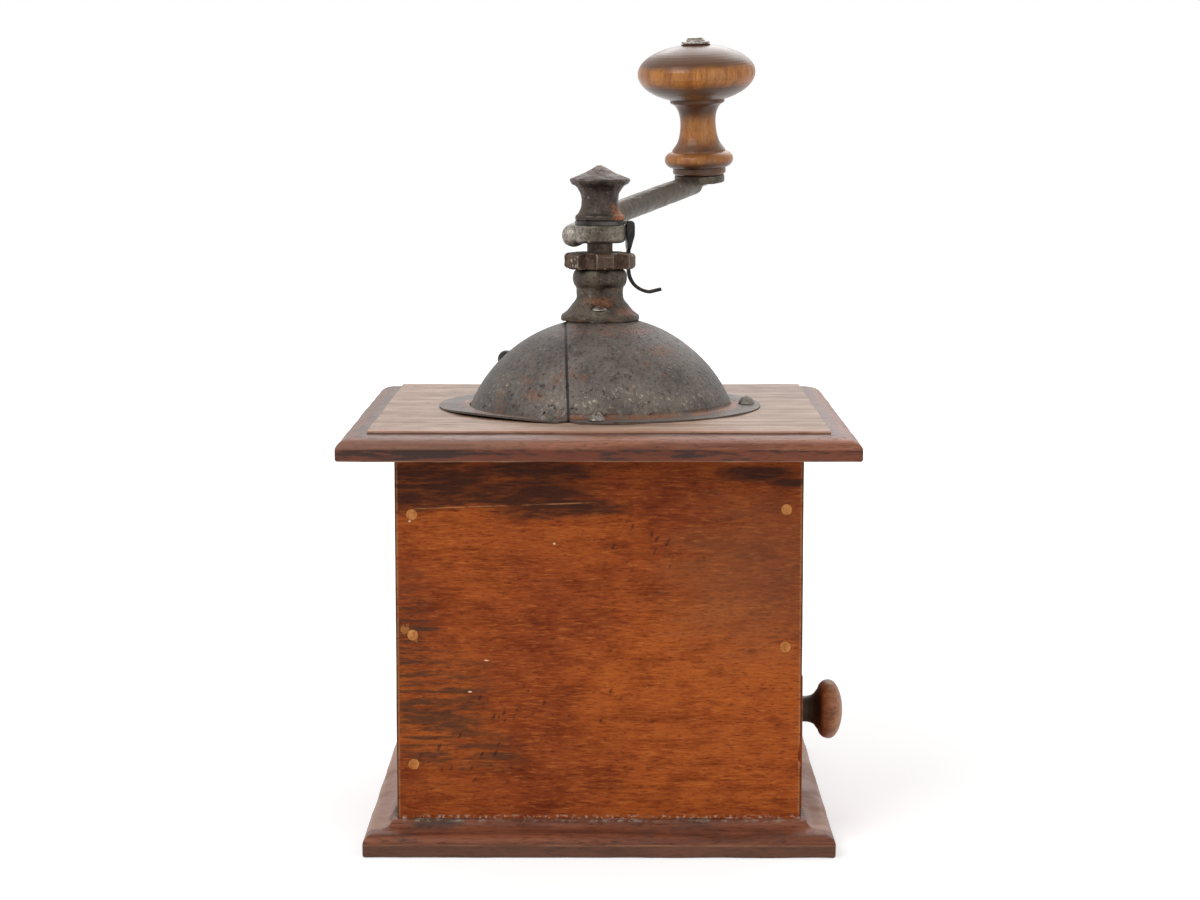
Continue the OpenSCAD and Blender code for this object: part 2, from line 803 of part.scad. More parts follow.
module drawer_far_side() {
    color("burlywood") difference() {
        drawer_side(1);
        drawer_floor_shape();
        drawer_nail_set();
    }
}

module drawer_back() {
    color("burlywood") difference() {
        translate([drawer_back_x, -drawer_w / 2 + drawer_wall, z_drawer])
            cube([drawer_wall, drawer_w - 2 * drawer_wall, drawer_side_h]);
        drawer_floor_shape();
        drawer_nail_set();
    }
}

module drawer_bottom() {
    color("wheat") drawer_floor_shape();
}

module drawer_nails() {
    color("gray") drawer_nail_set();
}

// Half outline of the drawer knob along its axis, from the drawer's front out
knob_outline = concat(
    [[0, -drawer_front_t], [knob_tenon_d / 2, -drawer_front_t], [knob_tenon_d / 2, 0]],
    [[knob_stem_d / 2 + 1.2, 0], [knob_stem_d / 2 + 1.2, 0.8]],
    arc(knob_stem_d / 2 + 1.6, knob_stem_l * 0.5, 1.6, knob_stem_l * 0.4, 250, 120, 6),
    arc(knob_d / 2 - knob_h * 0.42, knob_stem_l + knob_h * 0.42, knob_h * 0.42, knob_h * 0.42, -80, 0, 7),
    arc(0, knob_stem_l + knob_h * 0.45, knob_d / 2, knob_h * 0.55, 6, 90, 10));

module drawer_knob() {
    color("saddlebrown") translate([drawer_x, 0, z_knob]) rotate([0, 90, 0])
        rotate_extrude() polygon(knob_outline);
}

// The wheel is a nut: a rim with square teeth whose corners are rubbed round
module adjusting_wheel() {
    edge = 0.7;
    outline = [
        [0, 0], [wheel_r - edge, 0], [wheel_r, edge], [wheel_r, wheel_h - edge - 0.3],
        [wheel_r - edge, wheel_h - 0.3], [wheel_rim_r, wheel_h], [0, wheel_h]];
    color("#5a4034") translate([0, 0, z_wheel]) difference() {
        intersection() {
            rotate_extrude() polygon(outline);
            union() {
                cylinder(r = wheel_rim_r, h = wheel_h);
                for (i = [0:wheel_teeth - 1]) rotate([0, 0, wheel_phase + i * 360 / wheel_teeth])
                    translate([0, -tooth_w / 2, 0]) cube([wheel_r + over, tooth_w, wheel_h]);
            }
        }
        translate([0, 0, -over]) cylinder(r = bore_r, h = wheel_h + 2 * over);
    }
}

// A square bar whose corners are turned down to the spindle's diameter
module squared(h) {
    intersection() {
        translate([-square_w / 2, -square_w / 2, 0]) cube([square_w, square_w, h]);
        cylinder(d = spindle_d, h = h);
    }
}

module spindle() {
    z_square = z_cone_top - 1;
    color("dimgray") {
        translate([0, 0, z_square]) cylinder(d = spindle_d, h = z_hub - z_square);
        translate([0, 0, z_cone]) squared(z_square - z_cone);
        translate([0, 0, z_hub]) squared(hub_h);
        translate([0, 0, z_hub_top]) cylinder(d = thread_d, h = z_spindle_top - z_hub_top);
        translate([0, 0, z_spindle]) cylinder(d = thread_d, h = z_cone - z_spindle);
    }
}

// Outline of the breaker: a round core with a steep and a gentle side to each rib
function breaker_outline(steps = 10) =
    let (core = cone_top_r * 0.62, lobe = cone_top_r - 0.4 - core, n = breaker_ribs * steps)
    [for (i = [0:n - 1])
        let (a = 360 / n * i, s = (i % steps) / steps, r = core + lobe * pow(1 - s, 2))
        [r * cos(a), r * sin(a)]];

// The cone: fine saw teeth below, and helical breaker ribs above them
module inner_burr() {
    color("#3a3a3c") difference() {
        union() {
            translate([0, 0, z_cone]) linear_extrude(
                grind_h, twist = -22, scale = cone_top_r / cone_r, slices = 4)
                polygon(saw(cone_teeth, cone_r, cone_r - tooth_deep));
            translate([0, 0, z_throat - 0.2]) linear_extrude(
                breaker_h + 0.2, twist = -100, scale = 0.62, slices = 10)
                polygon(breaker_outline());
        }
        translate([0, 0, z_cone - over]) squared(ring_h + breaker_h);
        translate([0, 0, z_cone_top - 1]) cylinder(d = spindle_d, h = 2 * over);
    }
}

module burr_nut() {
    color("gray") difference() {
        translate([0, 0, z_cone - nut_h]) cylinder(d = thread_d * 2, h = nut_h, $fn = 6);
        translate([0, 0, z_cone - nut_h - over]) cylinder(d = thread_d, h = nut_h + 2 * over);
    }
}

// Places a child in the bar's frame: x runs along the bar from beside the spindle
module along_bar(z) {
    rotate([0, 0, crank_az]) translate([0, bar_side, z]) children();
}

// Places a child on the handle's axis, at the eye's top
module at_handle() {
    along_bar(z_pivot) translate([crank_l, 0, 0]) rotate([0, -handle_lean, 0]) children();
}

// A round bar along x whose near end is round
module round_bar(l) {
    rotate([0, 90, 0]) rotate_extrude() {
        square([bar_d / 2, l]);
        intersection() {
            circle(d = bar_d);
            translate([0, -bar_d]) square(bar_d);
        }
    }
}

// Space before (-1) or after (1) the mitre where the bar bends
module bend_side(side) {
    reach = 2 * crank_l;
    along_bar(z_bend) translate([root_l, 0, 0]) rotate([0, -(root_rise + arm_rise) / 2, 0])
        translate([side < 0 ? -reach : 0, -reach / 2, -reach / 2]) cube(reach);
}

// The two straight lengths of the bar, flattened under the handle
module crank_bar() {
    root_len = root_l / cos(root_rise) + bar_d;
    arm_len = (crank_l - bar_end_gap - root_l) / cos(arm_rise) + bar_d;
    difference() {
        union() {
            intersection() {
                along_bar(z_bar) rotate([0, -root_rise, 0]) translate([-bar_tail, 0, 0])
                    round_bar(root_len + bar_tail);
                bend_side(-1);
            }
            intersection() {
                along_bar(z_bend) translate([root_l, 0, 0]) rotate([0, -arm_rise, 0])
                    translate([-bar_d, 0, 0]) rotate([0, 90, 0]) cylinder(d = bar_d, h = arm_len);
                bend_side(1);
            }
        }
        at_handle() translate([-3 * eye_d, -eye_d, 0]) cube([6 * eye_d, 2 * eye_d, 2 * bar_d]);
    }
}

// A forged crank: a hub on the spindle's square, a round bar past it, and a
// flattened eye that carries the handle
module crank() {
    color("#4a4440") difference() {
        union() {
            translate([0, 0, z_hub]) rotate_extrude() polygon([
                [0, 0], [hub_r - 0.9, 0], [hub_r, 0.9], [hub_r, hub_h - 0.5], [hub_r - 0.5, hub_h], [0, hub_h]]);
            crank_bar();
            at_handle() translate([0, 0, -eye_t]) cylinder(d = eye_d, h = eye_t);
        }
        at_handle() translate([0, 0, -eye_t - bar_d]) cylinder(d = axle_d, h = eye_t + 2 * bar_d);
        translate([0, 0, z_hub - over]) squared(hub_h + 2 * over);
        translate([0, 0, z_hub_top]) cylinder(r = hub_r + hub_face_gap, h = bar_d);
    }
}

// The clip's eye is clamped between the hub and the finial nut
module clip_eye() {
    color("#1c1b1b") rotate([0, 0, clip_az]) translate([0, 0, z_hub_top]) difference() {
        union() {
            cylinder(r = hub_r - 0.3, h = clip_t);
            translate([0, -leaf_root_w / 2, 0]) cube([root_in + 1, leaf_root_w, clip_t]);
        }
        translate([0, 0, -over]) cylinder(d = thread_d, h = clip_t + 2 * over);
        translate([hinge_x, -leaf_root_w, hinge_z - z_hub_top]) rotate([-90, 0, 0])
            cylinder(r = lug_r, h = 2 * leaf_root_w);
    }
}

// Side view of the clip's leaf: a thick root, a thin leg and a curled tab
module leaf_root_side() {
    translate([hinge_x, hinge_z]) circle(leaf_root_t / 2);
    polygon([
        [root_in, hinge_z], [root_in + leaf_root_t, hinge_z],
        [root_in + leaf_root_t, hinge_z - 3.2],
        [leaf_in + leaf_t, z_root], [leaf_in, z_root],
        [root_in, hinge_z - 4.4]]);
}

module leaf_side() {
    translate([leaf_in, z_leaf]) square([leaf_t, z_root + 0.2 - z_leaf]);
    difference() {
        translate([leaf_in + tail_r, z_leaf]) circle(tail_r);
        translate([leaf_in + tail_r, z_leaf]) circle(tail_r - leaf_t);
        translate([leaf_in - over, z_leaf]) square(2 * tail_r + 2 * over);
        translate([leaf_in + tail_r, z_leaf - 2 * tail_r]) square(3 * tail_r);
    }
    translate([leaf_in + tail_r, z_leaf - tail_r]) rotate(14) square([tab_l, leaf_t]);
}

module clip_leaf() {
    color("#1c1b1b") rotate([0, 0, clip_az]) rotate([90, 0, 0]) {
        linear_extrude(leaf_root_w, center = true) leaf_root_side();
        linear_extrude(leaf_w, center = true) leaf_side();
    }
}

// Half outline of the finial nut, from its foot up
finial_outline = concat(
    [[0, 0], [finial_foot_r - 0.4, 0], [finial_foot_r, 0.5], [finial_foot_r, 1.6]],
    arc(finial_foot_r + 0.2, finial_h * 0.5,
        finial_foot_r + 0.2 - finial_waist_r, finial_h * 0.37, 270, 180, 6),
    arc(finial_rim_r, finial_h * 0.5,
        finial_rim_r - finial_waist_r, finial_h * 0.42, 180, 100, 7),
    [[finial_rim_r, finial_h], [finial_rim_r, finial_h + 0.5], [finial_rim_r * 0.5, finial_h + finial_tip * 0.52]],
    [[0.6, finial_h + finial_tip], [0, finial_h + finial_tip]]);

module finial_nut() {
    color("#4b3b34") translate([0, 0, z_finial]) difference() {
        rotate_extrude() polygon(finial_outline);
        translate([0, 0, -over]) cylinder(d = thread_d, h = finial_h - 2 + over);
    }
}

// The axle is a long rivet: its tail is spread under the eye, its head over the washer
module handle_axle() {
    washer_z = handle_top + handle_gap;
    color("gray") at_handle() {
        translate([0, 0, -eye_t - axle_tail_h]) cylinder(d1 = axle_tail_d - 1.6, d2 = axle_tail_d, h = axle_tail_h);
        translate([0, 0, -eye_t - 0.1]) cylinder(d = axle_d, h = washer_z + washer_t + eye_t + 0.3);
        translate([0, 0, washer_z + washer_t]) cylinder(d1 = axle_head_d, d2 = axle_head_d - 2, h = axle_head_h);
    }
}

module handle_washer() {
    color("silver") at_handle() translate([0, 0, handle_top + handle_gap]) difference() {
        cylinder(d = washer_d, h = washer_t);
        translate([0, 0, -over]) cylinder(d = axle_d, h = washer_t + 2 * over);
    }
}

// Half outline of the turned handle, from its foot ring up to its crown
head_mid = head_z + head_h * 0.48;
handle_outline = concat(
    [[0, handle_gap], [foot_ring_d / 2 - 0.5, handle_gap], [foot_ring_d / 2, handle_gap + 0.6]],
    [[foot_ring_d / 2, bead_z]],
    arc(bead_d / 2 - bead_h / 2, bead_z + bead_h * 0.45, bead_h / 2, bead_h * 0.45, -70, 80, 10),
    [[waist_d / 2 + 3, stem_z]],
    arc(waist_d / 2 + 3, stem_z + stem_h * 0.55, 3, stem_h * 0.5, 250, 180, 6),
    arc(step_d / 2, stem_z + stem_h * 0.55, step_d / 2 - waist_d / 2, stem_h * 0.38, 180, 95, 7),
    [[step_d / 2, head_z - 0.8], [step_d / 2, head_z]],
    arc(0, head_mid, head_d / 2, head_mid - head_z + 1.2, -62, 0, 9),
    arc(0, head_mid, head_d / 2, handle_top - head_mid, 8, 76, 11),
    [[washer_d / 2 + 0.3, handle_top], [0, handle_top]]);

module handle_knob() {
    color("peru") at_handle() difference() {
        rotate_extrude() polygon(handle_outline);
        translate([0, 0, -over]) cylinder(r = axle_d / 2 + run_gap, h = handle_top + 2 * over);
    }
}

base_board();
near_panel();
far_panel();
back_panel();
front_panel();
top_board();
panel_pegs();
base_screws();
hopper_dome();
hopper_rim();
flange_screws();
neck();
neck_rivets();
outer_burr();
burr_screws();
lower_bridge();
bridge_screws();
hopper_door();
door_button();
drawer_front();
drawer_near_side();
drawer_far_side();
drawer_back();
drawer_bottom();
drawer_nails();
drawer_knob();
adjusting_wheel();
spindle();
inner_burr();
burr_nut();
crank();
clip_eye();
finial_nut();
handle_axle();
handle_washer();
clip_leaf();
handle_knob();
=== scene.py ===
# %% [markdown]
# An old box coffee grinder
#
# The grinder is a wooden box with a drawer, closed by a moulded top board. A sheet steel dome holds
# the beans, and a forged crank turns a steel spindle that drives the burrs under the board. The
# solid parts come from a measured model in millimetres. Here they get what eighty years of use gave
# them: rounded corners, pitted iron, worn varnish, stains and rust.
#
# The measured parts are loaded first and are never moved. A part whose shape only needs a finish
# keeps its mesh and gets a material. A part whose edges or surface are worn is replaced by a piece
# that is shaped here.

# %% Load the measured parts
import json
import math

import bpy
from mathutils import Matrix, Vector, noise


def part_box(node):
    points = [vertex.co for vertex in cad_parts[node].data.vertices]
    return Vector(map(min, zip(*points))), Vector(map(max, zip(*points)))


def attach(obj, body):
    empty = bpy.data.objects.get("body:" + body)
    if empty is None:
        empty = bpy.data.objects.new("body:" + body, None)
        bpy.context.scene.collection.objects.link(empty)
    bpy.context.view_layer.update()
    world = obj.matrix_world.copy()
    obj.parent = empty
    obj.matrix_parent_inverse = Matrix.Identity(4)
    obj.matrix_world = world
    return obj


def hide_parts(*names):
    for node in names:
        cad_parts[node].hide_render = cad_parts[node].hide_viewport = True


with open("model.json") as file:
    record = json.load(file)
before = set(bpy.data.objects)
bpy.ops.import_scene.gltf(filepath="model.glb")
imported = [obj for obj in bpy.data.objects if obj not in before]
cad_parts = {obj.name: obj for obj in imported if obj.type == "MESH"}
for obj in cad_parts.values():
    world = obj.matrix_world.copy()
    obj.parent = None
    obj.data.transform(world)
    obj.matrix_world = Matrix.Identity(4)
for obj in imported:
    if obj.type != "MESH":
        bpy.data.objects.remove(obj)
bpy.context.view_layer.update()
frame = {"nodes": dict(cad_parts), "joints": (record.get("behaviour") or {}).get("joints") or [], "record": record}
NODES = frame["nodes"]
BODY_OF = {node: body for body, nodes in frame["record"]["behaviour"]["bodies"].items() for node in nodes}
MM = 0.001

# %% [markdown]
# The camera stands where the photographer's stood: 82 cm in front of the spindle, a little under the
# crank's height, and tilted down by seven degrees, so that the top of the board shows as a thin
# strip. A long lens keeps the upright edges of the box nearly parallel.

# %% Camera
CAMERA_PLACE = (3.35 * MM, -824 * MM, 217.7 * MM)
CAMERA_DIP = math.radians(7.28)
CAMERA_TURN = math.radians(0.23)
camera_data = bpy.data.cameras.new("camera")
camera_data.sensor_width = 36
camera_data.lens = 79
camera_data.clip_start = 0.01
camera = bpy.data.objects.new("camera", camera_data)
camera.location = CAMERA_PLACE
camera.rotation_euler = (math.pi / 2 - CAMERA_DIP, 0, CAMERA_TURN)
bpy.context.scene.collection.objects.link(camera)
bpy.context.scene.camera = camera
bpy.context.scene.view_settings.view_transform = "Standard"
print("camera", round((Vector(CAMERA_PLACE) - Vector((0, 0, 0.12))).length, 3), "m from the box")

# %% [markdown]
# Every material below is a small recipe of nodes. Writing each node by hand takes many lines, so
# one helper adds nodes to a tree and joins them. A value may be a plain number or another node's
# output, and the helper sorts out which.

# %% A helper that writes node recipes
class Recipe:
    """Adds nodes to one tree and joins them."""

    def __init__(self, tree):
        self.tree = tree

    def node(self, kind, **settings):
        made = self.tree.nodes.new(kind)
        for key, value in settings.items():
            setattr(made, key, value)
        return made

    def put(self, socket, value):
        if isinstance(value, bpy.types.NodeSocket):
            self.tree.links.new(value, socket)
        else:
            socket.default_value = value

    def place(self, vector, scale=(1, 1, 1), turn=(0, 0, 0), move=(0, 0, 0)):
        made = self.node("ShaderNodeMapping")
        self.put(made.inputs["Vector"], vector)
        made.inputs["Scale"].default_value = scale
        made.inputs["Rotation"].default_value = [math.radians(a) for a in turn]
        made.inputs["Location"].default_value = move
        return made.outputs["Vector"]

    def noise(self, vector, scale=1.0, detail=3.0, rough=0.5):
        made = self.node("ShaderNodeTexNoise")
        self.put(made.inputs["Vector"], vector)
        for name, value in (("Scale", scale), ("Detail", detail), ("Roughness", rough)):
            self.put(made.inputs[name], value)
        return made.outputs["Fac"]

    def cells(self, vector, output="Distance"):
        made = self.node("ShaderNodeTexVoronoi")
        self.put(made.inputs["Vector"], vector)
        self.put(made.inputs["Scale"], 1.0)
        return made.outputs[output]

    def step(self, value, low, high, start=0.0, end=1.0):
        """Goes smoothly from start to end while value goes from low to high."""
        made = self.node("ShaderNodeMapRange", interpolation_type="SMOOTHSTEP")
        for name, number in (("Value", value), ("From Min", low), ("From Max", high),
                             ("To Min", start), ("To Max", end)):
            self.put(made.inputs[name], number)
        return made.outputs["Result"]

    def math(self, operation, a, b=0.0):
        made = self.node("ShaderNodeMath", operation=operation)
        self.put(made.inputs[0], a)
        self.put(made.inputs[1], b)
        return made.outputs["Value"]

    def all_of(self, *masks):
        """The masks multiplied with each other."""
        total = masks[0]
        for mask in masks[1:]:
            total = self.math("MULTIPLY", total, mask)
        return total

    def clamp(self, value):
        made = self.node("ShaderNodeClamp")
        self.put(made.inputs["Value"], value)
        return made.outputs["Result"]

    def vector_math(self, operation, a, b=(0, 0, 0), output="Vector"):
        made = self.node("ShaderNodeVectorMath", operation=operation)
        self.put(made.inputs[0], a)
        self.put(made.inputs[1], b)
        return made.outputs[output]

    def parts(self, vector):
        made = self.node("ShaderNodeSeparateXYZ")
        self.put(made.inputs[0], vector)
        return made.outputs["X"], made.outputs["Y"], made.outputs["Z"]

    def mix(self, amount, a, b, blend="MIX"):
        """Blends two colours. The mix node's colour sockets are found by their place."""
        made = self.node("ShaderNodeMix", data_type="RGBA", blend_type=blend)
        self.put(made.inputs[0], amount)
        self.put(made.inputs[6], colour(a))
        self.put(made.inputs[7], colour(b))
        return made.outputs[2]

    def bump(self, height, depth):
        """Tilts the surface as if it stood out by depth, in metres, where height is 1."""
        made = self.node("ShaderNodeBump")
        made.inputs["Strength"].default_value = 1.0
        made.inputs["Distance"].default_value = depth
        self.put(made.inputs["Height"], height)
        return made.outputs["Normal"]

    def group(self, name, **inputs):
        made = self.node("ShaderNodeGroup")
        made.node_tree = bpy.data.node_groups[name]
        for key, value in inputs.items():
            self.put(made.inputs[key], value)
        return made.outputs


def colour(value):
    """A plain colour gets its alpha; a node's output stays as it is."""
    if isinstance(value, bpy.types.NodeSocket):
        return value
    return (*value, 1.0)


print("the helper writes", len([name for name in vars(Recipe) if not name.startswith("_")]), "kinds of step")

# %% [markdown]
# The studio is plain: a pale floor, a pale surround and three large soft lamps. The main light comes
# from the upper left, a weaker one from the right, and one from behind that lights the board's top.
# Camera rays see pure white, while the light that falls on the object stays at a plain level. Metal
# and varnish mirror their surroundings, so mirror rays see white behind the object and a dimmer room
# in front of it, as in a real studio.

# %% Surround
SURROUND_LIGHT = 0.55
DIM_ROOM = 0.30


def surround_strength(recipe):
    """White for the camera, a plain light on the object, and a dimmer room in front for mirrors."""
    path = recipe.node("ShaderNodeLightPath")
    seen = recipe.math("MAXIMUM", path.outputs["Is Camera Ray"], path.outputs["Is Transmission Ray"])
    x, y, z = recipe.parts(recipe.node("ShaderNodeTexCoord").outputs["Generated"])
    room = recipe.step(y, -0.6, 0.25, DIM_ROOM, 1.0)
    mirrored = recipe.math("MULTIPLY", path.outputs["Is Glossy Ray"], room)
    other = recipe.math("SUBTRACT", 1.0, recipe.math("MAXIMUM", seen, path.outputs["Is Glossy Ray"]))
    lit = recipe.math("MULTIPLY", other, SURROUND_LIGHT)
    return recipe.math("ADD", recipe.math("ADD", seen, mirrored), lit)


world = bpy.data.worlds.new("surround")
bpy.context.scene.world = world
world.use_nodes = True
world.node_tree.nodes.clear()
sky = Recipe(world.node_tree)
background = sky.node("ShaderNodeBackground")
background.inputs["Color"].default_value = (1, 1, 1, 1)
sky.put(background.inputs["Strength"], surround_strength(sky))
world_output = sky.node("ShaderNodeOutputWorld")
sky.put(world_output.inputs["Surface"], background.outputs["Background"])
print("surround gives light at", SURROUND_LIGHT, "of the white that the camera sees")

# %% Floor
FLOOR_SIZE = 8
FLOOR_COLOUR = (0.72, 0.72, 0.72, 1)
FLOOR_GLOW = 0.42
FLOOR_FAR_GLOW = 0.75
bpy.ops.object.select_all(action="DESELECT")
bpy.ops.mesh.primitive_plane_add(size=FLOOR_SIZE)
floor = bpy.context.object
floor.name = "floor"
floor_paint = bpy.data.materials.new("floor_paint")
floor_paint.use_nodes = True
floor_paint.node_tree.nodes.clear()
floor_recipe = Recipe(floor_paint.node_tree)
matt = floor_recipe.node("ShaderNodeBsdfDiffuse")
matt.inputs["Color"].default_value = FLOOR_COLOUR
glow = floor_recipe.node("ShaderNodeEmission")
floor_rays = floor_recipe.node("ShaderNodeLightPath").outputs
direct = floor_recipe.math("MAXIMUM", floor_rays["Is Camera Ray"], floor_rays["Is Transmission Ray"])
direct = floor_recipe.math("MAXIMUM", direct, floor_rays["Is Glossy Ray"])
floor_place = floor_recipe.node("ShaderNodeTexCoord").outputs["Object"]
from_middle = floor_recipe.vector_math("LENGTH", floor_place, output="Value")
floor_glow = floor_recipe.step(from_middle, 0.3, 1.2, FLOOR_GLOW, FLOOR_FAR_GLOW)
floor_recipe.put(glow.inputs["Strength"], floor_recipe.math("MULTIPLY", direct, floor_glow))
both = floor_recipe.node("ShaderNodeAddShader")
floor_recipe.put(both.inputs[0], matt.outputs[0])
floor_recipe.put(both.inputs[1], glow.outputs[0])
floor_output = floor_recipe.node("ShaderNodeOutputMaterial")
floor_recipe.put(floor_output.inputs["Surface"], both.outputs[0])
floor.data.materials.append(floor_paint)
print("floor", FLOOR_SIZE, "m wide")

# %% Lamps
LAMPS = [
    ("main", (-0.75, -0.80, 1.05), 0.9, 11.0),
    ("fill", (0.85, -0.95, 0.55), 1.1, 5.0),
    ("back", (0.2, 0.95, 0.9), 0.9, 6.0),
]
AIM = Vector((0, 0, 0.12))
for lamp_name, place, size, power in LAMPS:
    lamp_data = bpy.data.lights.new(lamp_name, "AREA")
    lamp_data.size = size
    lamp_data.energy = power
    lamp = bpy.data.objects.new(lamp_name, lamp_data)
    lamp.location = place
    lamp.rotation_euler = (AIM - Vector(place)).to_track_quat("-Z", "Y").to_euler()
    bpy.context.scene.collection.objects.link(lamp)
print(len(LAMPS), "lamps")

# %% [markdown]
# Wood needs the same effect on every board: soft bands of growth, thin fibres, and short dark pores,
# all drawn out along the grain. One node group makes them, with its X axis along the grain, and each
# board turns the pattern to suit the way it was cut. The grain also sways a little, so that no line
# runs dead straight.

# %% Node group for wood figure
def new_group(name, inputs, outputs):
    """Makes a shader node group, and returns its recipe with its entry and exit sockets."""
    tree = bpy.data.node_groups.new(name, "ShaderNodeTree")
    print("node group", name, "gives", ", ".join(outputs))
    for label, kind, default in inputs:
        socket = tree.interface.new_socket(label, in_out="INPUT", socket_type=kind)
        if default is not None:
            socket.default_value = default
    for label in outputs:
        tree.interface.new_socket(label, in_out="OUTPUT", socket_type="NodeSocketFloat")
    recipe = Recipe(tree)
    return recipe, recipe.node("NodeGroupInput").outputs, recipe.node("NodeGroupOutput").inputs


def make_wood_figure():
    recipe, entry, way_out = new_group(
        "wood_figure", [("Vector", "NodeSocketVector", None)],
        ["Clouds", "Bands", "Fibres", "Pores", "Height"])
    sway = recipe.math("MULTIPLY", recipe.noise(recipe.place(entry["Vector"], (9, 16, 16)), detail=2), 0.004)
    x, y, z = recipe.parts(entry["Vector"])
    joined = recipe.node("ShaderNodeCombineXYZ")
    recipe.put(joined.inputs["X"], x)
    recipe.put(joined.inputs["Y"], recipe.math("ADD", y, sway))
    recipe.put(joined.inputs["Z"], recipe.math("ADD", z, sway))
    along = joined.outputs["Vector"]
    clouds = recipe.noise(recipe.place(along, (70, 120, 120), move=(1, 2, 3)), detail=5, rough=0.62)
    bands = recipe.noise(recipe.place(along, (16, 240, 240)), detail=5, rough=0.65)
    fibres = recipe.noise(recipe.place(along, (150, 1150, 1150)), detail=4, rough=0.7)
    dashes = recipe.noise(recipe.place(along, (300, 1700, 1700), move=(3, 5, 7)), detail=2)
    pores = recipe.step(dashes, 0.58, 0.70)
    height = recipe.math("SUBTRACT", recipe.math("MULTIPLY", fibres, 0.7), pores)
    for label, value in (("Clouds", clouds), ("Bands", bands), ("Fibres", fibres), ("Pores", pores),
                         ("Height", height)):
        recipe.put(way_out[label], value)


make_wood_figure()

# %% [markdown]
# Stains, dents and rubbed spots lie at certain places. A second group gives a mask that is 1 inside
# an ellipsoid and fades out over a ragged edge, so that a stain is set by its centre and its size.
# The rag comes from a vector of its own, which lets an edge follow the grain.

# %% Node group for a ragged spot
def make_spot():
    recipe, entry, way_out = new_group(
        "spot",
        [("Vector", "NodeSocketVector", None), ("Rag", "NodeSocketVector", None),
         ("Centre", "NodeSocketVector", (0, 0, 0)), ("Size", "NodeSocketVector", (1, 1, 1)),
         ("Ragged", "NodeSocketFloat", 0.5), ("Soft", "NodeSocketFloat", 0.6)],
        ["Mask"])
    away = recipe.vector_math("SUBTRACT", entry["Vector"], entry["Centre"])
    share = recipe.vector_math("DIVIDE", away, entry["Size"])
    distance = recipe.vector_math("LENGTH", share, output="Value")
    edge = recipe.math("SUBTRACT", recipe.noise(entry["Rag"], detail=5, rough=0.7), 0.5)
    rag = recipe.math("MULTIPLY", edge, recipe.math("MULTIPLY", entry["Ragged"], 5))
    half = recipe.math("MULTIPLY", entry["Soft"], 0.5)
    made = recipe.node("ShaderNodeMapRange", interpolation_type="SMOOTHSTEP")
    recipe.put(made.inputs["Value"], recipe.math("ADD", distance, rag))
    recipe.put(made.inputs["From Min"], recipe.math("ADD", 1.0, half))
    recipe.put(made.inputs["From Max"], recipe.math("SUBTRACT", 1.0, half))
    recipe.put(way_out["Mask"], made.outputs["Result"])


make_spot()

# %% [markdown]
# Old iron is never one colour. It has a broad mottle, a grain of fine pits, pale specks of oxide, and
# flecks of orange rust. The third group makes these masks, and a height for the bump, at a size that
# each part sets.

# %% Node group for pitted iron
def make_pitted_iron():
    recipe, entry, way_out = new_group(
        "pitted_iron",
        [("Vector", "NodeSocketVector", None), ("Size", "NodeSocketFloat", 1.0)],
        ["Mottle", "Grit", "Pits", "Specks", "Flecks", "Height"])
    vector = recipe.vector_math("SCALE", entry["Vector"])
    recipe.put(vector.node.inputs["Scale"], recipe.math("DIVIDE", 1.0, entry["Size"]))
    mottle = recipe.noise(vector, 85, detail=6, rough=0.65)
    grit = recipe.noise(vector, 900, detail=4, rough=0.65)
    pits = recipe.step(recipe.noise(vector, 620, detail=3, rough=0.55), 0.60, 0.72)
    crumbs = recipe.noise(recipe.place(vector, move=(0.3, 0.1, 0.2)), 700, detail=5, rough=0.75)
    specks = recipe.step(crumbs, 0.52, 0.70)
    blooms = recipe.noise(recipe.place(vector, move=(0.7, 0.4, 0.9)), 170, detail=7, rough=0.7)
    flecks = recipe.step(blooms, 0.55, 0.72)
    height = recipe.math("SUBTRACT", recipe.math("MULTIPLY", grit, 0.8), pits)
    for label, value in (("Mottle", mottle), ("Grit", grit), ("Pits", pits), ("Specks", specks),
                         ("Flecks", flecks), ("Height", height)):
        recipe.put(way_out[label], value)


make_pitted_iron()

# %% [markdown]
# A new material starts with a Principled shader and the object's own coordinates, which are metres
# here because every part keeps its place in its mesh. Metalness, coat and the like that are the same
# all over stay plain numbers on the shader.

# %% Starting a material
def start_material(name, roughness=0.5, metallic=0.0, specular=0.5, coat=0.0, coat_roughness=0.2):
    material = bpy.data.materials.new(name)
    material.use_nodes = True
    recipe = Recipe(material.node_tree)
    shader = material.node_tree.nodes["Principled BSDF"]
    shader.inputs["Roughness"].default_value = roughness
    shader.inputs["Metallic"].default_value = metallic
    shader.inputs["Specular IOR Level"].default_value = specular
    shader.inputs["Coat Weight"].default_value = coat
    shader.inputs["Coat Roughness"].default_value = coat_roughness
    vector = recipe.node("ShaderNodeTexCoord").outputs["Object"]
    print("material", name)
    return material, recipe, shader, vector


def spots(recipe, vector, places, rag, ragged=0.5, soft=0.6):
    """One mask that is 1 at any of the places, each given as (centre, size) in millimetres."""
    total = None
    for centre, size in places:
        mask = recipe.group(
            "spot", Vector=vector, Rag=rag, Centre=[v * MM for v in centre],
            Size=[v * MM for v in size], Ragged=ragged, Soft=soft)["Mask"]
        total = mask if total is None else recipe.math("MAXIMUM", total, mask)
    return total


def darker(recipe, base, amount, shade):
    """Multiplies a colour by a shade where amount is 1."""
    return recipe.mix(amount, base, shade, "MULTIPLY")


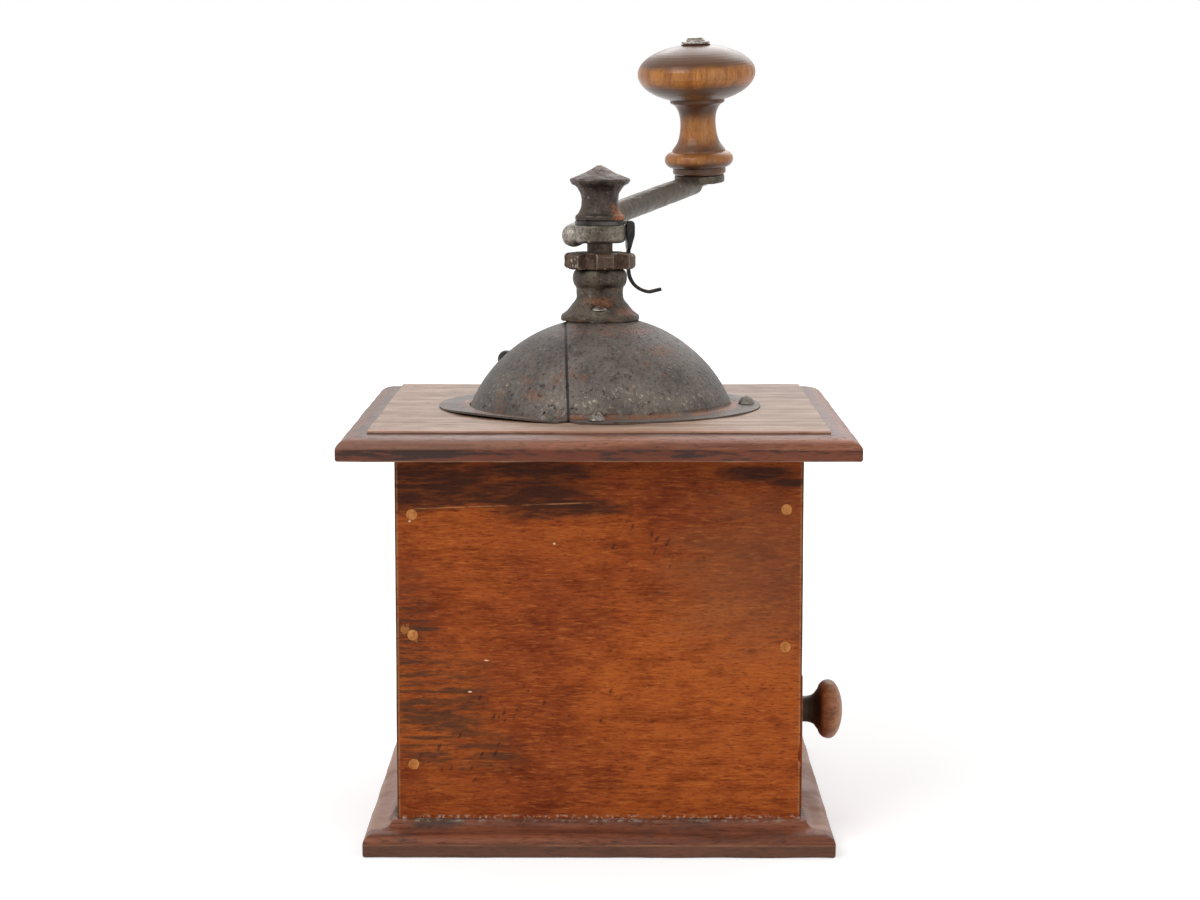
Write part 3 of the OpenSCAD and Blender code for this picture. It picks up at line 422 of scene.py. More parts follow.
# %% [markdown]
# The panels are a plain, close-grained wood under a red-brown shellac that is rubbed to orange in the
# middle. Sooty stains lie along the top edge, a grey grime with crackled edges at the lower left, and
# short dark dents are scattered over the lower half. They only mark the near panel's face, because
# their ellipsoids are thin from front to back. A greyer patch at the right of the near panel is a
# painted sheen of its varnish. Each upright corner of the box is rubbed pale beside a near black line,
# which is painted shade in the gap of its joint. A point is near a corner only if both X and Y are far
# from the middle, so the recipe looks at the smaller of the two.

# %% Marks on the near panel
NEAR_FACE = -60
PANEL_STAINS = [
    ((-46, NEAR_FACE, 111), (19, 4, 7)),
    ((-58, NEAR_FACE, 110), (10, 4, 8)),
    ((-26, NEAR_FACE, 107.5), (22, 4, 5)),
    ((-12, NEAR_FACE, 103), (20, 4, 3)),
    ((-24, NEAR_FACE, 114), (26, 4, 3)),
    ((47, NEAR_FACE, 113.5), (12, 4, 2.4)),
    ((56, NEAR_FACE, 110.5), (6, 4, 1.5)),
]
PANEL_GRIME = [
    ((-50, NEAR_FACE, 43), (15, 6, 17)),
    ((-57, NEAR_FACE, 62), (8, 5, 16)),
    ((-40, NEAR_FACE, 29), (17, 5, 5)),
]
# A greyer patch at the near panel's right is a painted sheen of its varnish.
PANEL_PAINTED_SHEEN = [((44, NEAR_FACE, 82), (22, 5, 22))]
PANEL_DENTED = [
    ((-26, NEAR_FACE, 41), (21, 4, 10)),
    ((-38, NEAR_FACE, 29), (14, 4, 9)),
    ((0, NEAR_FACE, 41), (12, 4, 7)),
    ((12, NEAR_FACE, 92), (18, 4, 7)),
]
PANEL_CHIPS = [
    ((-13.2, NEAR_FACE, 92.4), (0.35, 2, 0.35)),
    ((-33.2, NEAR_FACE, 57.4), (0.7, 2, 0.22)),
    ((-38.2, NEAR_FACE, 47.9), (0.6, 2, 0.25)),
    ((-55.6, NEAR_FACE, 99.0), (0.4, 2, 0.3)),
]
PEG_CHIPS = [((-57.3, NEAR_FACE, 66.5), (1.2, 2, 1.4)), ((-54.4, NEAR_FACE, 64.0), (0.8, 2, 1.2))]
SCRATCH = {"from_x": -58, "to_x": 1, "z": 103.6, "rise": 0.035, "half": 0.16}


def scratch_mask(recipe, vector):
    """A pale line that climbs slowly to the right."""
    x, y, z = recipe.parts(vector)
    line = recipe.math("ADD", recipe.math("MULTIPLY", x, SCRATCH["rise"]), (SCRATCH["z"] + 1.0) * MM)
    away = recipe.math("ABSOLUTE", recipe.math("SUBTRACT", z, line))
    inside = recipe.step(away, 2 * SCRATCH["half"] * MM, 0)
    started = recipe.step(x, SCRATCH["from_x"] * MM, (SCRATCH["from_x"] + 9) * MM)
    ended = recipe.step(x, SCRATCH["to_x"] * MM, (SCRATCH["to_x"] - 9) * MM)
    face = recipe.step(y, (NEAR_FACE + 1) * MM, (NEAR_FACE + 0.5) * MM)
    broken = recipe.step(recipe.noise(recipe.place(vector, (150, 150, 150)), detail=3), 0.40, 0.55)
    return recipe.all_of(inside, started, ended, broken, face)


def tick_mask(recipe, vector):
    """Short upright dents, each in a cell of its own, and most cells empty."""
    leaning = recipe.place(vector, turn=(0, -28, 0))
    stretched = recipe.place(leaning, (520, 520, 230))
    rough_edge = recipe.math("MULTIPLY", recipe.noise(vector, 1500, detail=3), 0.5)
    near = recipe.step(recipe.math("ADD", recipe.cells(stretched), rough_edge), 0.55, 0.38)
    chosen = recipe.step(recipe.parts(recipe.cells(stretched, output="Color"))[0], 0.40, 0.55)
    return recipe.all_of(near, chosen)


# %% Panel wood
def make_panel_wood(name, turn):
    material, recipe, shader, vector = start_material(name, specular=0.10)
    figure = recipe.group("wood_figure", Vector=recipe.place(vector, (1.6, 1.6, 1.6), turn))
    rag = recipe.place(vector, (70, 70, 330), turn=turn)
    x, y, z = recipe.parts(vector)
    broad = recipe.noise(vector, 17, detail=3)
    base = recipe.mix(recipe.step(broad, 0.36, 0.62), (0.225, 0.043, 0.009), (0.355, 0.080, 0.013))
    base = darker(recipe, base, recipe.step(figure["Clouds"], 0.58, 0.34), (0.74, 0.66, 0.62))
    base = darker(recipe, base, recipe.step(figure["Bands"], 0.52, 0.34), (0.78, 0.70, 0.66))
    base = recipe.mix(recipe.step(figure["Fibres"], 0.50, 0.74, 0, 0.50), base, (0.530, 0.165, 0.036))
    base = darker(recipe, base, recipe.step(figure["Fibres"], 0.48, 0.30), (0.60, 0.52, 0.50))
    base = darker(recipe, base, recipe.math("MULTIPLY", figure["Pores"], 0.65), (0.40, 0.32, 0.32))
    # Painted sheen: the greyer patch at the right of the panel.
    painted_sheen = recipe.math("MULTIPLY", spots(recipe, vector, PANEL_PAINTED_SHEEN, rag, 0.4, 1.2), 0.40)
    base = recipe.mix(painted_sheen, base, (0.190, 0.072, 0.030))
    streaks = recipe.noise(recipe.place(vector, (60, 60, 560), turn=turn), detail=5, rough=0.72)
    grime = spots(recipe, vector, PANEL_GRIME, rag, 0.5, 1.2)
    grime = recipe.math("MULTIPLY", grime, recipe.step(streaks, 0.42, 0.56, 0.15, 1.0))
    base = recipe.mix(recipe.math("MULTIPLY", grime, 0.85), base, (0.060, 0.026, 0.014))
    stain = spots(recipe, vector, PANEL_STAINS, rag, 0.42, 1.0)
    stain = recipe.math("MULTIPLY", stain, recipe.step(streaks, 0.66, 0.46, 0.62, 1.0))
    base = recipe.mix(recipe.math("MULTIPLY", stain, 0.92), base, (0.036, 0.012, 0.007))
    dented = spots(recipe, vector, PANEL_DENTED, rag, 0.35, 1.2)
    ticks = recipe.math("MULTIPLY", tick_mask(recipe, vector), dented)
    base = recipe.mix(recipe.math("MULTIPLY", ticks, 0.8), base, (0.050, 0.014, 0.008))
    base = recipe.mix(recipe.math("MULTIPLY", scratch_mask(recipe, vector), 0.7), base, (0.480, 0.210, 0.080))
    fine_rag = recipe.place(vector, (900, 900, 900))
    chips = spots(recipe, vector, PANEL_CHIPS, fine_rag, 0.35, 0.3)
    base = recipe.mix(chips, base, (0.640, 0.420, 0.240))
    chips = spots(recipe, vector, PEG_CHIPS, fine_rag, 0.7, 0.5)
    base = recipe.mix(recipe.math("MULTIPLY", chips, 0.6), base, (0.420, 0.165, 0.040))
    to_corner = recipe.math("MINIMUM", recipe.math("ABSOLUTE", x), recipe.math("ABSOLUTE", y))
    corner = recipe.step(to_corner, 58.9 * MM, 59.3 * MM)
    corner = recipe.all_of(corner, recipe.step(streaks, 0.38, 0.55, 0.1, 0.6))
    base = recipe.mix(corner, base, (0.360, 0.155, 0.060))
    # Painted shade: a near black line at each upright corner stands for the shade in the gap of the joint.
    joint = recipe.step(to_corner, 59.50 * MM, 59.75 * MM, 0, 0.85)
    base = recipe.mix(joint, base, (0.022, 0.010, 0.007))
    crumbs = recipe.step(recipe.noise(vector, 700, detail=4, rough=0.7), 0.50, 0.62)
    dust = recipe.math("MULTIPLY", recipe.step(z, 11.0 * MM, 9.8 * MM), crumbs)
    base = recipe.mix(recipe.math("MULTIPLY", dust, 0.8), base, (0.560, 0.470, 0.380))
    recipe.put(shader.inputs["Base Color"], base)
    rough = recipe.step(figure["Clouds"], 0.3, 0.7, 0.40, 0.52)
    recipe.put(shader.inputs["Roughness"], recipe.math("ADD", rough, recipe.math("MULTIPLY", grime, 0.2)))
    height = recipe.math("SUBTRACT", figure["Height"], recipe.math("MULTIPLY", ticks, 1.8))
    recipe.put(shader.inputs["Normal"], recipe.bump(height, 0.00007))
    return material


panel_wood = make_panel_wood("panel_wood", (0, 0, 0))
end_panel_wood = make_panel_wood("end_panel_wood", (0, 0, 90))
print("panel wood with", len(PANEL_STAINS) + len(PANEL_GRIME), "stains")

# %% [markdown]
# The top board's flat has lost its varnish, so it is a dry, pinkish grey brown with raised grain; its
# pale tone is partly a painted reflection of the white surround. The moulding round it kept a thin red
# varnish, with a dark line in the step, black scorched patches on the nose, and a pale line along the
# nose's lower arris that is wear and a painted highlight. The base board is darker and dustier. Height
# tells which part of the profile a point is on, so both recipes read Z.

# %% Board wood
TOP_Z = (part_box("top_board")[0].z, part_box("top_board")[1].z)
BASE_Z = (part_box("base_board")[0].z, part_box("base_board")[1].z)
BOARD_SPLITS = [
    ((-45, -50, 126.5), (2.6, 0.5, 2)),
    ((-38, -44, 126.5), (2.2, 0.4, 2)),
    ((-66, -56, 126.5), (0.5, 0.6, 2)),
]


def grained(recipe, figure, dark, light):
    """Two colours blended along the grain, with darker fibres and pores."""
    base = recipe.mix(recipe.step(figure["Bands"], 0.34, 0.64), dark, light)
    base = darker(recipe, base, recipe.step(figure["Fibres"], 0.50, 0.32), (0.66, 0.60, 0.58))
    return darker(recipe, base, recipe.math("MULTIPLY", figure["Pores"], 0.7), (0.46, 0.40, 0.40))


def make_top_wood():
    material, recipe, shader, vector = start_material("top_wood", specular=0.30)
    figure = recipe.group("wood_figure", Vector=vector)
    x, y, z = recipe.parts(vector)
    worn = recipe.step(z, TOP_Z[1] - 0.80 * MM, TOP_Z[1] - 0.30 * MM)
    lines = recipe.noise(recipe.place(vector, (10, 800, 10)), detail=3, rough=0.6)
    # The bare flat's pale pinkish grey is partly a painted reflection of the white surround.
    bare_and_painted_reflection = recipe.mix(recipe.step(figure["Clouds"], 0.3, 0.7), (0.290, 0.180, 0.125), (0.450, 0.310, 0.230))
    bare_and_painted_reflection = darker(recipe, bare_and_painted_reflection, recipe.step(lines, 0.54, 0.40), (0.64, 0.56, 0.50))
    front = recipe.step(y, -57 * MM, -66 * MM)
    bare_and_painted_reflection = recipe.mix(recipe.math("MULTIPLY", front, 0.55), bare_and_painted_reflection, (0.400, 0.200, 0.120))
    splits = spots(recipe, vector, BOARD_SPLITS, recipe.place(vector, (200, 900, 200)), 0.35, 0.4)
    bare_and_painted_reflection = recipe.mix(splits, bare_and_painted_reflection, (0.020, 0.012, 0.010))
    red = grained(recipe, figure, (0.150, 0.050, 0.026), (0.300, 0.115, 0.060))
    greyer = recipe.math("MULTIPLY", recipe.step(x, 10 * MM, -60 * MM), 0.55)
    red = recipe.mix(greyer, red, (0.150, 0.085, 0.062))
    nose = recipe.step(z, TOP_Z[0] + 4.0 * MM, TOP_Z[0] + 3.2 * MM)
    red = recipe.mix(recipe.math("MULTIPLY", nose, 0.85), red, (0.120, 0.026, 0.010))
    scorched = recipe.noise(recipe.place(vector, (26, 26, 200)), detail=6, rough=0.7)
    scorched = recipe.all_of(recipe.step(scorched, 0.50, 0.58), recipe.step(nose, 0, 1, 0.15, 0.9))
    red = recipe.mix(scorched, red, (0.026, 0.013, 0.010))
    base = recipe.mix(worn, red, bare_and_painted_reflection)
    # A dark line in the step between the flat and the moulding.
    groove = recipe.math("MULTIPLY", recipe.step(z, TOP_Z[1] - 1.5 * MM, TOP_Z[1] - 0.8 * MM),
                         recipe.step(z, TOP_Z[1] - 0.35 * MM, TOP_Z[1] - 0.75 * MM))
    base = recipe.mix(recipe.math("MULTIPLY", groove, 0.6), base, (0.060, 0.030, 0.022))
    # Wear and a painted highlight: a pale line along the nose's lower arris.
    arris = recipe.step(z, TOP_Z[0] + 0.65 * MM, TOP_Z[0] + 0.15 * MM)
    arris = recipe.math("MULTIPLY", arris, recipe.step(figure["Fibres"], 0.4, 0.6, 0.4, 0.85))
    base = recipe.mix(arris, base, (0.400, 0.210, 0.115))
    recipe.put(shader.inputs["Base Color"], base)
    recipe.put(shader.inputs["Roughness"], recipe.step(worn, 0, 1, 0.40, 0.50))
    height = recipe.math("ADD", figure["Height"], recipe.math("MULTIPLY", lines, 1.2))
    recipe.put(shader.inputs["Normal"], recipe.bump(height, 0.00012))
    return material


def make_base_wood():
    material, recipe, shader, vector = start_material("base_wood", specular=0.22)
    figure = recipe.group("wood_figure", Vector=vector)
    x, y, z = recipe.parts(vector)
    red = grained(recipe, figure, (0.110, 0.033, 0.016), (0.215, 0.072, 0.036))
    patches = recipe.noise(recipe.place(vector, (30, 30, 90)), detail=6, rough=0.7)
    dirt = recipe.step(patches, 0.47, 0.62)
    darker_left = recipe.step(x, 30 * MM, -60 * MM, 0.45, 0.85)
    base = recipe.mix(recipe.math("MULTIPLY", dirt, darker_left), red, (0.048, 0.030, 0.024))
    nose = recipe.step(z, 4.6 * MM, 3.8 * MM)
    base = recipe.mix(recipe.math("MULTIPLY", nose, 0.6), base, (0.092, 0.044, 0.028))
    crumbs = recipe.step(recipe.noise(vector, 420, detail=5, rough=0.7), 0.48, 0.62)
    dust = recipe.math("MULTIPLY", recipe.step(z, BASE_Z[1] - 1.0 * MM, BASE_Z[1] - 0.1 * MM), crumbs)
    base = recipe.mix(recipe.math("MULTIPLY", dust, 0.6), base, (0.300, 0.250, 0.200))
    beside = recipe.step(recipe.math("ABSOLUTE", x), 61.5 * MM, 64 * MM)
    beside = recipe.all_of(beside, recipe.step(y, -64 * MM, -60 * MM))
    beside = recipe.all_of(beside, recipe.step(z, 3.5 * MM, 5.5 * MM, 0, 0.6))
    base = recipe.mix(beside, base, (0.400, 0.225, 0.155))
    arris = recipe.step(z, 4.3 * MM, 4.0 * MM)
    arris = recipe.math("MULTIPLY", arris, recipe.step(z, 3.4 * MM, 3.8 * MM))
    arris = recipe.math("MULTIPLY", arris, recipe.step(patches, 0.42, 0.58, 0.1, 0.6))
    base = recipe.mix(arris, base, (0.300, 0.130, 0.065))
    recipe.put(shader.inputs["Base Color"], base)
    recipe.put(shader.inputs["Roughness"], recipe.step(dirt, 0, 1, 0.40, 0.58))
    recipe.put(shader.inputs["Normal"], recipe.bump(figure["Height"], 0.00010))
    return material


top_wood = make_top_wood()
base_wood = make_base_wood()

# %% [markdown]
# The handle is the one part that hands kept polished. Its thick varnish has gone amber, worn thin
# round the widest part of the head, and dark in the hollows; the dark brown under the head is painted
# shade. A clear coat over a soft grain gives the depth. The grain of a turned piece runs along its axis,
# so the pattern is turned with it.

# %% Turned wood
HANDLE = next(joint for joint in frame["joints"] if joint["name"] == "handle_spin")
PIVOT = Vector(HANDLE["pos_m"])
HANDLE_AXIS = Vector(HANDLE["axis"])


def height_along(recipe, vector, foot, axis):
    """Distance of a point from foot, measured along an axis."""
    away = recipe.vector_math("SUBTRACT", vector, foot)
    return recipe.vector_math("DOT_PRODUCT", away, axis, output="Value")


def between(recipe, value, low, high, soft):
    """1 while value lies between low and high, in millimetres, with soft ends."""
    rises = recipe.step(value, (low - soft) * MM, (low + soft) * MM)
    falls = recipe.step(value, (high + soft) * MM, (high - soft) * MM)
    return recipe.math("MULTIPLY", rises, falls)


def make_handle_wood():
    material, recipe, shader, vector = start_material(
        "handle_wood", specular=0.25, coat=0.22, coat_roughness=0.24)
    figure = recipe.group("wood_figure", Vector=recipe.place(vector, (1.3, 1.3, 1.3), (0, 88, 0)))
    height = height_along(recipe, vector, PIVOT, HANDLE_AXIS)
    cloud = recipe.noise(vector, 75, detail=4)
    amber = grained(recipe, figure, (0.300, 0.100, 0.022), (0.480, 0.195, 0.045))
    # Amber on the head's band, the stem and the bead; the dark brown left under the head is painted shade.
    band = between(recipe, height, 31.2, 37.6, 1.6)
    stem = recipe.math("MULTIPLY", between(recipe, height, 12.0, 20.0, 3.0), 0.85)
    bead = recipe.math("MULTIPLY", between(recipe, height, 4.5, 8.0, 1.2), 0.75)
    bright = recipe.math("MAXIMUM", band, recipe.math("MAXIMUM", stem, bead))
    uneven = recipe.math("MULTIPLY", recipe.math("SUBTRACT", cloud, 0.5), 1.3)
    bright = recipe.clamp(recipe.math("ADD", bright, uneven))
    base = recipe.mix(bright, (0.090, 0.038, 0.018), amber)
    crown = recipe.step(height, 37.5 * MM, 40.5 * MM)
    base = recipe.mix(recipe.math("MULTIPLY", crown, 0.7), base, (0.125, 0.062, 0.034))
    recipe.put(shader.inputs["Base Color"], base)
    recipe.put(shader.inputs["Roughness"], recipe.step(cloud, 0.3, 0.7, 0.30, 0.46))
    recipe.put(shader.inputs["Normal"], recipe.bump(figure["Fibres"], 0.00004))
    return material


def make_knob_wood():
    material, recipe, shader, vector = start_material("knob_wood", roughness=0.42, specular=0.3)
    figure = recipe.group("wood_figure", Vector=vector)
    x, y, z = recipe.parts(vector)
    cloud = recipe.noise(vector, 120, detail=4)
    head = grained(recipe, figure, (0.240, 0.090, 0.036), (0.400, 0.165, 0.070))
    head = darker(recipe, head, recipe.step(cloud, 0.50, 0.34), (0.62, 0.56, 0.54))
    neck_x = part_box("drawer_knob")[1].x - 7.0 * MM
    base = recipe.mix(recipe.step(x, neck_x - 1.0 * MM, neck_x + 1.0 * MM), (0.040, 0.026, 0.019), head)
    recipe.put(shader.inputs["Base Color"], base)
    recipe.put(shader.inputs["Normal"], recipe.bump(figure["Fibres"], 0.00006))
    return material


def make_plain_wood(name, dark, light, turn=(0, 0, 0), smudged=0.45):
    """Unfinished inside wood, as in the drawer and on the peg ends."""
    material, recipe, shader, vector = start_material(name, roughness=0.7, specular=0.2)
    figure = recipe.group("wood_figure", Vector=recipe.place(vector, turn=turn))
    base = grained(recipe, figure, dark, light)
    smudge = recipe.step(recipe.noise(vector, 45, detail=5, rough=0.65), 0.45, 0.7)
    base = recipe.mix(recipe.math("MULTIPLY", smudge, smudged), base, (0.14, 0.085, 0.05))
    recipe.put(shader.inputs["Base Color"], base)
    recipe.put(shader.inputs["Normal"], recipe.bump(figure["Height"], 0.00008))
    return material


handle_wood = make_handle_wood()
knob_wood = make_knob_wood()
drawer_wood = make_plain_wood("drawer_wood", (0.33, 0.20, 0.10), (0.50, 0.33, 0.18))
drawer_end_wood = make_plain_wood("drawer_end_wood", (0.33, 0.20, 0.10), (0.50, 0.33, 0.18), (0, 0, 90))
peg_wood = make_plain_wood("peg_wood", (0.38, 0.125, 0.026), (0.60, 0.260, 0.075), (0, 0, 90), 0.15)

# %% [markdown]
# The iron parts share the pitted recipe with their own colours: the dome is a grey sheet whose tin
# has mostly gone, the neck and the finial are brown, the wheel is rusty with bright rubbed tooth
# edges, and the spring clip is nearly black. On a forged part the edges are rubbed bright and the
# hollows keep their rust. Blender calls that sharpness of a point its pointiness.

# %% Iron finishes
RUST = (0.270, 0.085, 0.028)


def make_iron(name, dark, light, speck, size=1.0, metallic=0.5, roughness=(0.42, 0.62), depth=0.00012,
              rust=0.5, edge=None, speck_amount=0.35, extra=None):
    """An iron finish. edge is the colour of rubbed edges, extra adds the part's own marks and, on the hub, a
    painted reflection and a painted highlight.
    """
    material, recipe, shader, vector = start_material(name, metallic=metallic, specular=0.4)
    iron = recipe.group("pitted_iron", Vector=vector, Size=size)
    base = recipe.mix(recipe.step(iron["Mottle"], 0.34, 0.66), dark, light)
    base = darker(recipe, base, recipe.step(iron["Grit"], 0.52, 0.34), (0.62, 0.58, 0.56))
    base = recipe.mix(recipe.math("MULTIPLY", iron["Specks"], speck_amount), base, speck)
    base = darker(recipe, base, recipe.math("MULTIPLY", iron["Pits"], 0.7), (0.34, 0.30, 0.30))
    flecks = recipe.math("MULTIPLY", iron["Flecks"], rust)
    if edge:
        sharp = recipe.node("ShaderNodeNewGeometry").outputs["Pointiness"]
        hollow = recipe.step(sharp, 0.485, 0.44, 0, 0.55)
        flecks = recipe.math("MAXIMUM", flecks, hollow)
        broken = recipe.step(iron["Mottle"], 0.40, 0.56, 0.15, 0.85)
        rubbed = recipe.all_of(recipe.step(sharp, 0.512, 0.56), broken)
        base = recipe.mix(rubbed, base, edge)
    base = recipe.mix(flecks, base, RUST)
    if extra:
        base = extra(recipe, vector, iron, base)
    recipe.put(shader.inputs["Base Color"], base)
    rough = recipe.step(iron["Mottle"], 0.3, 0.7, *roughness)
    recipe.put(shader.inputs["Roughness"], recipe.math("ADD", rough, recipe.math("MULTIPLY", flecks, 0.25)))
    recipe.put(shader.inputs["Normal"], recipe.bump(iron["Height"], depth))
    return material


def marks(*kinds):
    """Spots on a part, each kind given as (places, colour, amount), broken up by the iron's grit; on the hub two
    of them are a painted reflection and a painted highlight.
    """
    def add(recipe, vector, iron, base):
        rag = recipe.place(vector, (330, 330, 330))
        for places, shade, amount in kinds:
            mask = spots(recipe, vector, places, rag, 0.6, 1.3)
            mask = recipe.all_of(mask, recipe.step(iron["Grit"], 0.36, 0.56, 0.35, 1.0))
            base = recipe.mix(recipe.math("MULTIPLY", mask, amount), base, shade)
        return base
    return add


# %% [markdown]
# The dome has marks of its own. Orange rust runs round the bend at its foot and under the neck, pale
# oxide clings to its lower front, and the flange is browner than the dome. The seam beside the door is
# painted near black, as painted shade in its gap and as its dirt.

# %% Dome steel
DOME_FOOT_Z = TOP_Z[1] + 0.6 * MM
FINIAL_TOP_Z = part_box("finial_nut")[1].z / MM
SEAM = {"x": -9.2, "lean": math.radians(3), "wide": 0.55}
DOME_RUST = [((-31, -27, 132), (1.6, 4, 4.5)), ((-20, -34, 133), (2.6, 4, 1.6)), ((-17, -30, 148), (5, 6, 2)),
             ((4, -12, 151), (12, 6, 1.8)), ((18, -20, 146), (6, 6, 1.2))]
DOME_PALE = [((14, -39, 133), (11, 8, 3.6)), ((26, -33, 131.5), (7, 8, 3)), ((-14, -40, 132), (5, 6, 3)),
             ((-2, -42, 132), (5, 6, 3.5)), ((33, -26, 134), (4, 8, 3)), ((-33, -22, 137), (7, 6, 6))]


def dome_marks(recipe, vector, iron, base):
    rag = recipe.place(vector, (240, 240, 240))
    x, y, z = recipe.parts(vector)
    pale = spots(recipe, vector, DOME_PALE, rag, 0.5, 1.2)
    pale = recipe.all_of(pale, recipe.step(iron["Specks"], 0, 0.8, 0.12, 0.85))
    base = recipe.mix(pale, base, (0.430, 0.370, 0.280))
    rusty = spots(recipe, vector, DOME_RUST, rag, 0.9, 1.6)
    rusty = recipe.all_of(rusty, recipe.step(iron["Grit"], 0.40, 0.58))
    base = recipe.mix(recipe.math("MULTIPLY", rusty, 0.55), base, (0.230, 0.080, 0.032))
    squares = recipe.math("ADD", recipe.math("MULTIPLY", x, x), recipe.math("MULTIPLY", y, y))
    flat = recipe.math("SQRT", squares)
    bend = between(recipe, flat, 41.2, 43.6, 0.7)
    patchy = recipe.noise(vector, 160, detail=5, rough=0.65)
    bend = recipe.all_of(bend, recipe.step(patchy, 0.36, 0.58, 0.1, 0.8))
    base = recipe.mix(bend, base, (0.250, 0.098, 0.042))
    rim = recipe.math("MULTIPLY", recipe.step(flat, 43.5 * MM, 45.5 * MM), 0.55)
    base = recipe.mix(rim, base, (0.120, 0.086, 0.070))
    # Painted shade and dirt: a near black line along the seam, where the door meets the dome.
    lean = recipe.math("MULTIPLY", recipe.math("SUBTRACT", z, DOME_FOOT_Z), math.tan(SEAM["lean"]))
    past = recipe.math("SUBTRACT", recipe.math("ADD", x, lean), SEAM["x"] * MM)
    groove = recipe.step(recipe.math("ABSOLUTE", past), SEAM["wide"] * MM, SEAM["wide"] * 0.6 * MM)
    return recipe.mix(recipe.math("MULTIPLY", groove, 0.92), base, (0.012, 0.009, 0.008))


dome_steel = make_iron(
    "dome_steel", (0.070, 0.057, 0.050), (0.150, 0.125, 0.108), (0.300, 0.265, 0.220), metallic=0.4,
    roughness=(0.44, 0.60), depth=0.00035, rust=0.30, speck_amount=0.40, extra=dome_marks)
neck_iron = make_iron(
    "neck_iron", (0.036, 0.027, 0.020), (0.115, 0.090, 0.066), (0.24, 0.20, 0.15), size=0.7, metallic=0.5,
    rust=0.40, edge=(0.22, 0.19, 0.15), depth=0.00020,
    extra=marks(([((0, -9, 159.5), (4, 5, 1.6)), ((9, -6, 156.5), (4, 6, 1.2))], RUST, 0.55)))
finial_iron = make_iron(
    "finial_iron", (0.026, 0.017, 0.013), (0.085, 0.062, 0.050), (0.22, 0.19, 0.15), size=0.7, metallic=0.5,
    rust=0.35, edge=(0.22, 0.18, 0.15),
    extra=marks(
        ([((8, -3, 186.5), (3.2, 7, 3.2))], (0.420, 0.135, 0.035), 0.85),
        ([((0, 0, FINIAL_TOP_Z), (11, 11, 4.2))], (0.190, 0.140, 0.120), 0.75)))
wheel_iron = make_iron(
    "wheel_iron", (0.045, 0.024, 0.016), (0.105, 0.066, 0.044), (0.28, 0.22, 0.17), size=0.6, metallic=0.5,
    rust=0.55, edge=(0.38, 0.33, 0.27))
# On the hub, the pale grey patch at the left is a painted reflection of the white surround, and the paler patch at
# the right is a painted highlight on its rounded corner.
hub_steel = make_iron(
    "hub_steel", (0.052, 0.042, 0.031), (0.135, 0.115, 0.085), (0.32, 0.29, 0.23), size=0.7, metallic=0.6,
    roughness=(0.34, 0.55), rust=0.25, edge=(0.42, 0.38, 0.31),
    extra=marks(
        ([((-10.5, -6, 180.5), (4.5, 12, 5))], (0.460, 0.420, 0.370), 0.85),
        ([((6, -6, 180.5), (4, 7, 4))], (0.300, 0.270, 0.210), 0.55),
        ([((20, 60, 190), (30, 46, 18))], (0.075, 0.055, 0.040), 0.55)))
burr_iron = make_iron(
    "burr_iron", (0.030, 0.027, 0.024), (0.080, 0.072, 0.064), (0.16, 0.14, 0.12), metallic=0.7, rust=0.15)
spindle_steel = make_iron(
    "spindle_steel", (0.050, 0.032, 0.022), (0.130, 0.095, 0.070), (0.26, 0.21, 0.16), size=0.6, metallic=0.6,
    rust=0.6)
bright_steel = make_iron(
    "bright_steel", (0.22, 0.19, 0.16), (0.50, 0.46, 0.41), (0.66, 0.62, 0.56), size=0.5, metallic=0.85,
    roughness=(0.28, 0.45), rust=0.20, depth=0.00006, edge=(0.62, 0.58, 0.52))
screw_steel = make_iron(
    "screw_steel", (0.11, 0.095, 0.08), (0.32, 0.29, 0.25), (0.50, 0.47, 0.42), size=0.5, metallic=0.7,
    rust=0.35, depth=0.00006, edge=(0.50, 0.46, 0.40))
black_spring = make_iron(
    "black_spring", (0.012, 0.011, 0.011), (0.036, 0.032, 0.030), (0.10, 0.09, 0.085), size=0.6, metallic=0.6,
    roughness=(0.35, 0.5), rust=0.15, depth=0.00005, edge=(0.09, 0.08, 0.075))

# %% [markdown]
# Boards that have been handled for decades have no sharp corners left. A worn board starts as a
# copy of the measured one with its loose triangles merged into whole faces. A bevel rounds its
# edges, cuts across it give it points to move, and slow noise then pushes the surface in and out by
# a fraction of a millimetre.

# %% Helpers for worn pieces
def make_active(piece):
    bpy.ops.object.select_all(action="DESELECT")
    piece.select_set(True)
    bpy.context.view_layer.objects.active = piece


def apply_modifiers(piece):
    make_active(piece)
    for modifier in list(piece.modifiers):
        bpy.ops.object.modifier_apply(modifier=modifier.name)


def copy_of(node):
    """A new object with the measured part's shape, its loose triangles joined into faces."""
    source = NODES[node]
    piece = bpy.data.objects.new(node + "_worn", source.data.copy())
    bpy.context.scene.collection.objects.link(piece)
    piece.data.materials.clear()
    make_active(piece)
    bpy.ops.object.mode_set(mode="EDIT")
    bpy.ops.mesh.select_all(action="SELECT")
    bpy.ops.mesh.remove_doubles(threshold=0.01 * MM)
    bpy.ops.mesh.dissolve_limited(angle_limit=math.radians(1))
    bpy.ops.object.mode_set(mode="OBJECT")
    bpy.ops.mesh.customdata_custom_splitnormals_clear()
    return piece


def finish_piece(piece, node, material):
    """Gives the piece its finish, puts it on the measured part's body and hides the measured part."""
    piece.data.materials.clear()
    piece.data.materials.append(material)
    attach(piece, BODY_OF[node])
    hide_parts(node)
    print(piece.name, len(piece.data.polygons), "faces")


def shade_smooth(piece, angle):
    make_active(piece)
    bpy.ops.object.shade_smooth_by_angle(angle=math.radians(angle))


